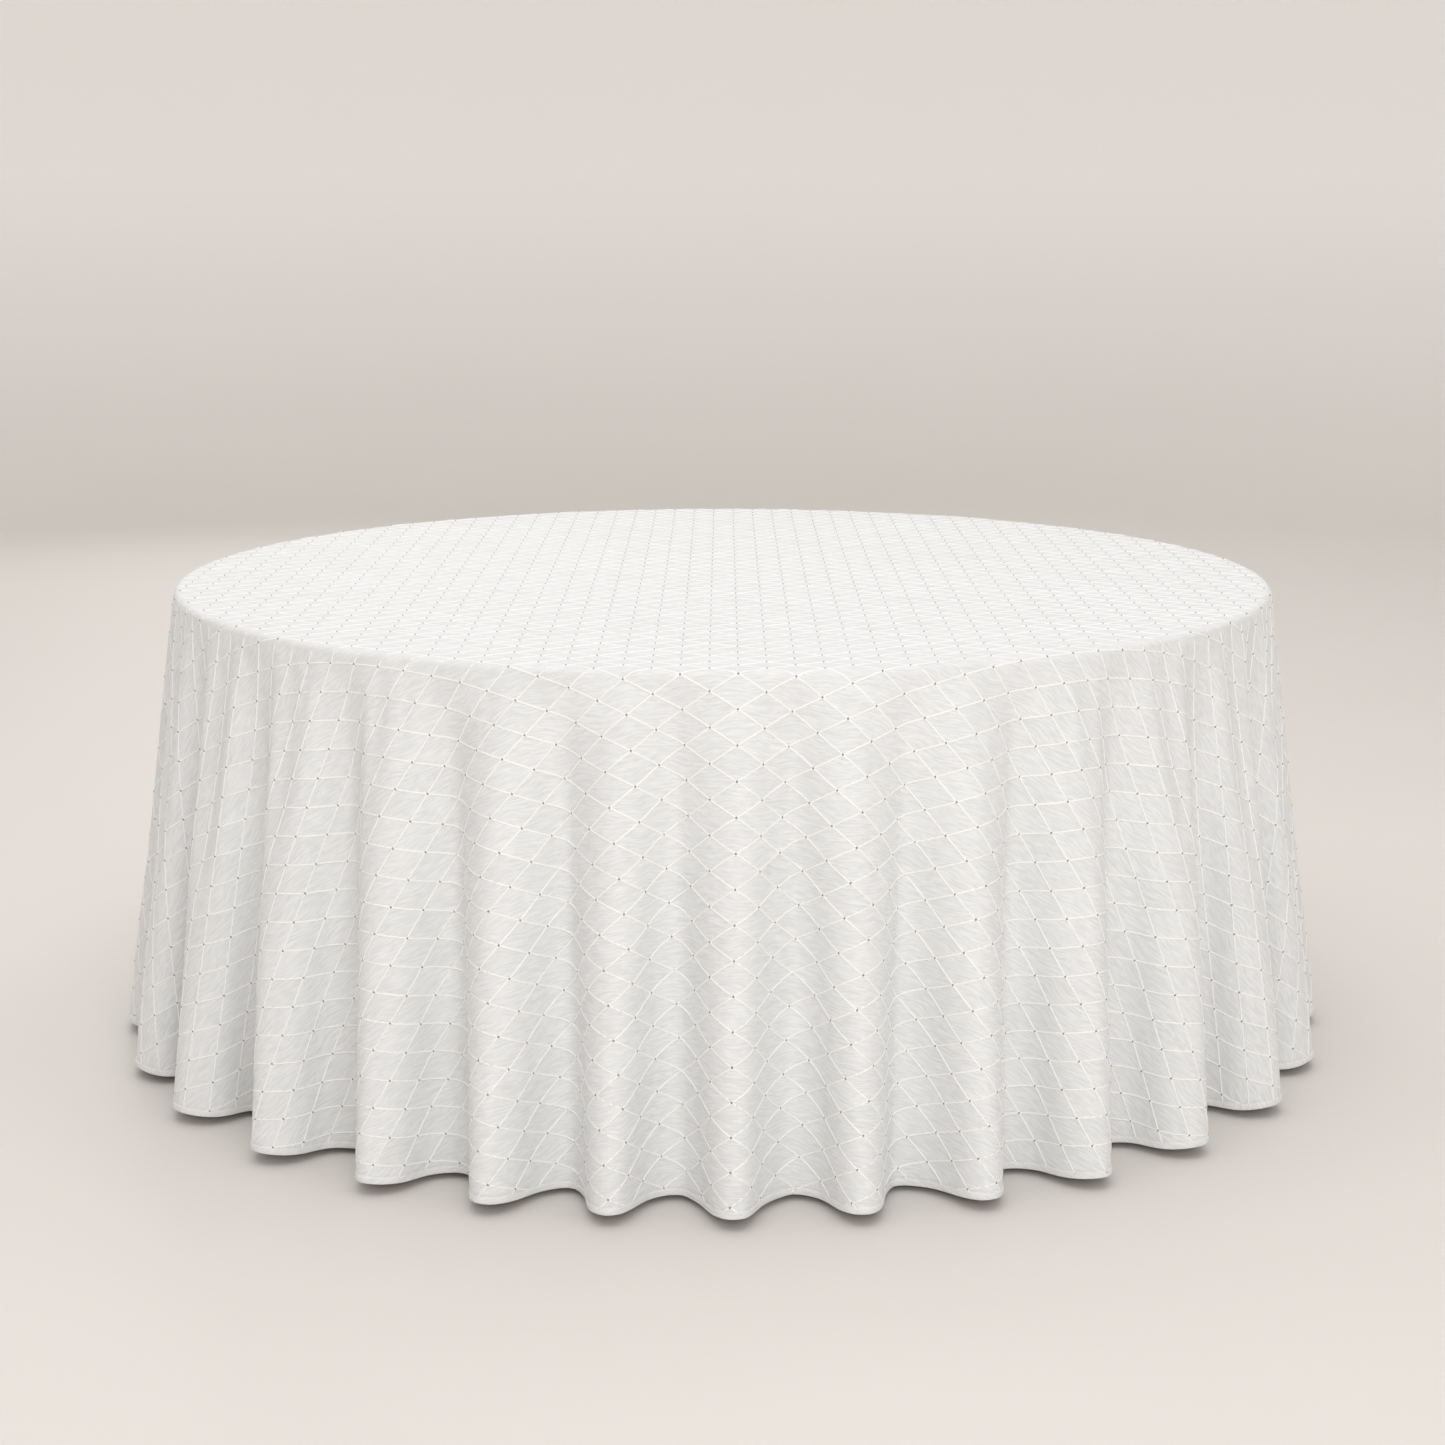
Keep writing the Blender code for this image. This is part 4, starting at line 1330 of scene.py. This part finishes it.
def swept_tube(name: str, points: list[Vector], radius: float, material: bpy.types.Material) -> bpy.types.Object:
    """A smooth round tube along points, open at its ends with a wall inside.

    Args:
        name: The piece's name.
        points: Its centre line.
        radius: Its outside radius.
        material: Its finish.

    Returns:
        The piece.
    """
    mesh = curve_mesh(name, [points], radius, TUBE_ROUNDNESS, False)
    bm = bmesh.new()
    bm.from_mesh(mesh)
    bpy.data.meshes.remove(mesh)
    bmesh.ops.recalc_face_normals(bm, faces=bm.faces)
    tube = mesh_object(name, bm, material)
    thicken(tube, TUBE_WALL)
    return tube


@dataclass
class LegFrame:
    """One folding leg frame's tubes: the hinge tube, two bent legs and the stretcher between them."""

    side: str
    splay: float = math.radians(2.3)
    leg_radius: float = 0.0143
    hinge_radius: float = 0.0127
    stretcher_radius: float = 0.0111
    hinge_half: float = 0.262
    top_y: float = 0.190
    top_drop: float = 0.006
    foot_y: float = 0.330
    bend_drop: float = 0.130
    bend_half: float = 0.045
    stretcher_drop: float = 0.300
    stretcher_gap: float = 0.6  # the stretcher's end is this share of the leg's radius from its centre line
    floor_gap: float = 0.0093

    def placement(self) -> Matrix:
        """The frame's own axes: origin on the hinge axis, legs down.

        Returns:
            The matrix from those axes to the table's.
        """
        low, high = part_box(f"pivot_tube_{self.side}")
        middle = (low + high) / 2
        outward = 0.0 if middle.x > 0 else math.pi
        turn = Matrix.Rotation(outward, 4, "Z") @ Matrix.Rotation(-self.splay, 4, "Y")
        return Matrix.Translation(middle) @ turn

    def leg_route(self, sign: int) -> list[Vector]:
        """A leg's centre line, from just below the hinge axis to just above the floor.

        Args:
            sign: -1 or 1, for the leg on the negative or positive side of the frame's own Y axis.

        Returns:
            The centre line's points.
        """
        floor_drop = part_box(f"pivot_tube_{self.side}")[0].z + self.hinge_radius
        foot = Vector((0.0, sign * self.foot_y, -floor_drop / math.cos(self.splay)))
        bend = Vector((0.0, sign * self.top_y, -self.bend_drop))
        foot += (bend - foot).normalized() * self.floor_gap
        return rounded_bend([Vector((0.0, sign * self.top_y, -self.top_drop)), bend, foot], self.bend_half)

    def build(self, material: bpy.types.Material) -> list[bpy.types.Object]:
        """Makes the four tubes.

        Args:
            material: The paint on them.

        Returns:
            The pieces.
        """
        place = self.placement()
        near, far = ("front", "back") if self.side == "right" else ("back", "front")
        legs = {sign: self.leg_route(sign) for sign in (-1, 1)}
        run = (self.stretcher_drop - self.bend_drop) / (-legs[1][-1].z - self.bend_drop)
        reach = self.top_y + (self.foot_y - self.top_y) * run - self.leg_radius * self.stretcher_gap
        hinge = [(0, sign * self.hinge_half, 0) for sign in (-1, 1)]
        stretcher = [(0, sign * reach, -self.stretcher_drop) for sign in (-1, 1)]
        routes = {
            f"pivot_tube_{self.side}": (hinge, self.hinge_radius),
            f"stretcher_{self.side}": (stretcher, self.stretcher_radius),
            f"leg_{self.side}_{near}": (legs[-1], self.leg_radius),
            f"leg_{self.side}_{far}": (legs[1], self.leg_radius),
        }
        made = []
        for node, (route, radius) in routes.items():
            tube = swept_tube(f"{node}_painted", [place @ Vector(point) for point in route], radius, material)
            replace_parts(tube, node)
            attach(tube, f"leg_frame_{self.side}")
            made.append(tube)
        return made


@dataclass
class FoldingTable:
    """The table under the cloth: every rigid piece gets softened edges and its real finish."""

    wood_edge: float = 0.0012
    metal_edge: float = 0.0004
    sharp: float = math.radians(32)

    def build(self, effects: Effects) -> list[bpy.types.Object]:
        """Dresses every rigid node.

        Args:
            effects: The shared shader groups.

        Returns:
            The pieces that stand for the CAD's.
        """
        hard = hard_finishes(effects)
        finishes = {
            "plywood": BirchPlywood(effects).material(),
            "vinyl_edge": hard[Surface.VINYL],
            "hardwood": PlainPoplar(effects).material(),
            "painted_steel": hard[Surface.PAINT],
            "zinc_steel": hard[Surface.ZINC],
            "rubber": hard[Surface.RUBBER],
        }
        across = PlainPoplar(effects).material(math.pi / 2)
        made = [piece for side in ("right", "left") for piece in LegFrame(side).build(finishes["painted_steel"])]
        done = {node for piece in made for node in piece["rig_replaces"]}
        bodies = node_bodies()
        for part in frame["record"]["subparts"]:
            node, slot = part["node"], part["material_slot"]
            finish = across if node.startswith("leg_batten") else finishes.get(slot)
            if finish is not None:
                self.dress(frame["nodes"][node], finish)
                if node not in done:
                    made.append(self.soften(node, bodies[node], slot, finish))
        return made

    @staticmethod
    def dress(obj: bpy.types.Object, material: bpy.types.Material) -> None:
        """Gives a carried-over node its material."""
        obj.data.materials.clear()
        obj.data.materials.append(material)

    def soften(self, node: str, body: str, slot: str, material: bpy.types.Material) -> bpy.types.Object:
        """A copy of a CAD node with its edges eased and its round faces smooth.

        Args:
            node: The CAD node that the copy stands for.
            body: The body it rides on.
            slot: Its material slot.
            material: Its finish.

        Returns:
            The piece.
        """
        bm = bmesh.new()
        bm.from_mesh(frame["nodes"][node].data)
        bmesh.ops.remove_doubles(bm, verts=bm.verts, dist=1e-6)
        bmesh.ops.dissolve_limit(bm, angle_limit=math.radians(0.5), verts=bm.verts, edges=bm.edges)
        width = self.wood_edge if slot in ("plywood", "hardwood") else self.metal_edge
        if slot != "vinyl_edge":
            corners = [e for e in bm.edges if e.is_manifold and e.calc_face_angle(0.0) > self.sharp]
            shortest = min((e.calc_length() for e in corners), default=0.0)
            bmesh.ops.bevel(
                bm,
                geom=corners,
                offset=min(width, shortest * 0.25),
                segments=2,
                profile=0.5,
                affect="EDGES",
                material=-1,
                clamp_overlap=True,
            )
        piece = mesh_object(f"{node}_finished", bm, material)
        piece.data.set_sharp_from_angle(angle=self.sharp)
        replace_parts(piece, node)
        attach(piece, body)
        return piece


# ---------------------------------------------------------------- the studio


@dataclass(frozen=True)
class Lamp:
    """A square area light: its place, its turn about X and Z in degrees, its side and its power in watts."""

    name: str
    place: Place
    tilt: float
    swing: float
    side: float
    power: float
    colour: Place = (1.0, 0.995, 0.985)

    def build(self) -> None:
        """Adds the light, which the camera doesn't see."""
        data = bpy.data.lights.new(self.name, "AREA")
        data.size = self.side
        data.energy = self.power
        data.color = self.colour
        lamp = link_object(self.name, data)
        lamp.location = self.place
        lamp.rotation_euler = (math.radians(self.tilt), 0.0, math.radians(self.swing))
        lamp.visible_camera = False


@dataclass
class Studio:
    """A plain pale floor that curves up into a plain wall, soft light and the camera."""

    lens: float = 62.8
    sensor: float = 36.0
    eye: Place = (0.0, -4.277, 1.394)
    pitch: float = math.radians(-11.77)
    floor_radius: float = 7.0
    sweep_radius: float = 3.0
    wall_height: float = 5.0
    ground: tuple[Colour, Colour] = ((0.735, 0.70, 0.665, 1), (0.765, 0.73, 0.695, 1))
    wall: Colour = (0.95, 0.92, 0.89, 1)
    wall_from: float = 1.5
    sky_colour: Colour = (1.0, 0.985, 0.97, 1.0)
    sky_strength: float = 0.78
    lamps: tuple[Lamp, ...] = (
        Lamp("overhead_light", (0.0, 0.2, 4.2), 0.0, 0.0, 4.5, 54.0),
        Lamp("front_light", (0.7, -5.7, 1.9), 76.0, 7.0, 2.4, 92.0),
        Lamp("back_light", (-1.6, 5.9, 2.6), -72.0, 15.0, 2.4, 26.0),
    )

    def build(self) -> None:
        """Sets up the floor, the lights, the sky and the camera."""
        self.floor()
        for lamp in self.lamps:
            lamp.build()
        self.sky()
        self.camera()

    def floor(self) -> None:
        """A round floor whose edge sweeps up into a wall all round, with a faint unevenness in its gloss."""
        material, sheet, shader = new_material("pale_floor")
        place = object_coordinates(sheet)
        patches = sheet.noise(place, 1.3, 3.0, 0.5)
        upright = sheet.add("ShaderNodeSeparateXYZ", {0: place}).outputs[2]
        height = sheet.ramp(upright, 0.0, self.wall_from, 0.0, 1.0)
        looks = {
            "Base Color": sheet.blend(height, sheet.blend(patches, *self.ground), self.wall),
            "Roughness": sheet.ramp(patches, 0.3, 0.7, 0.5, 0.6),
        }
        sheet.fill(shader, looks)
        bm = bmesh.new()
        arc = [math.radians(5 * step) for step in range(19)]
        profile = [(0.0, 0.0), (self.floor_radius, 0.0)]
        profile += [
            (self.floor_radius + self.sweep_radius * math.sin(a), self.sweep_radius * (1 - math.cos(a))) for a in arc
        ]
        profile.append((self.floor_radius + self.sweep_radius, self.wall_height))
        line = [bm.verts.new((reach, 0.0, height)) for reach, height in profile]
        edges = [bm.edges.new(pair) for pair in zip(line, line[1:])]
        bmesh.ops.spin(
            bm, geom=line + edges, cent=(0, 0, 0), axis=(0, 0, 1), angle=math.tau, steps=96, use_merge=True
        )
        bmesh.ops.remove_doubles(bm, verts=bm.verts, dist=1e-5)
        bmesh.ops.recalc_face_normals(bm, faces=bm.faces)
        floor = mesh_object("floor", bm, material)
        if floor.data.polygons[0].normal.z < 0:
            floor.data.flip_normals()

    def sky(self) -> None:
        """A warm white surrounding light."""
        world = bpy.data.worlds.new("warm_white")
        world.use_nodes = True
        background = world.node_tree.nodes["Background"]
        background.inputs["Color"].default_value = self.sky_colour
        background.inputs["Strength"].default_value = self.sky_strength
        bpy.context.scene.world = world
        bpy.context.scene.view_settings.view_transform = "Standard"

    def camera(self) -> None:
        """A level camera that looks slightly down on the table."""
        data = bpy.data.cameras.new("camera")
        data.lens = self.lens
        data.sensor_width = self.sensor
        camera = link_object("camera", data)
        camera.location = self.eye
        camera.rotation_euler = (math.pi / 2 + self.pitch, 0.0, 0.0)
        bpy.context.scene.camera = camera


def main() -> None:
    """Builds the cloth, dresses the table, and sets up the studio."""
    logging.basicConfig(level=logging.INFO, format="%(name)s: %(message)s")
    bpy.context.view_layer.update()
    effects = Effects()
    drape = Drape()
    drape.settle()
    drape.refine(960, 44)
    for piece in Tablecloth(drape, Lattice()).build(effects) + FoldingTable().build(effects):
        report(piece)
    Studio().build()


if __name__ == "__main__":
    main()
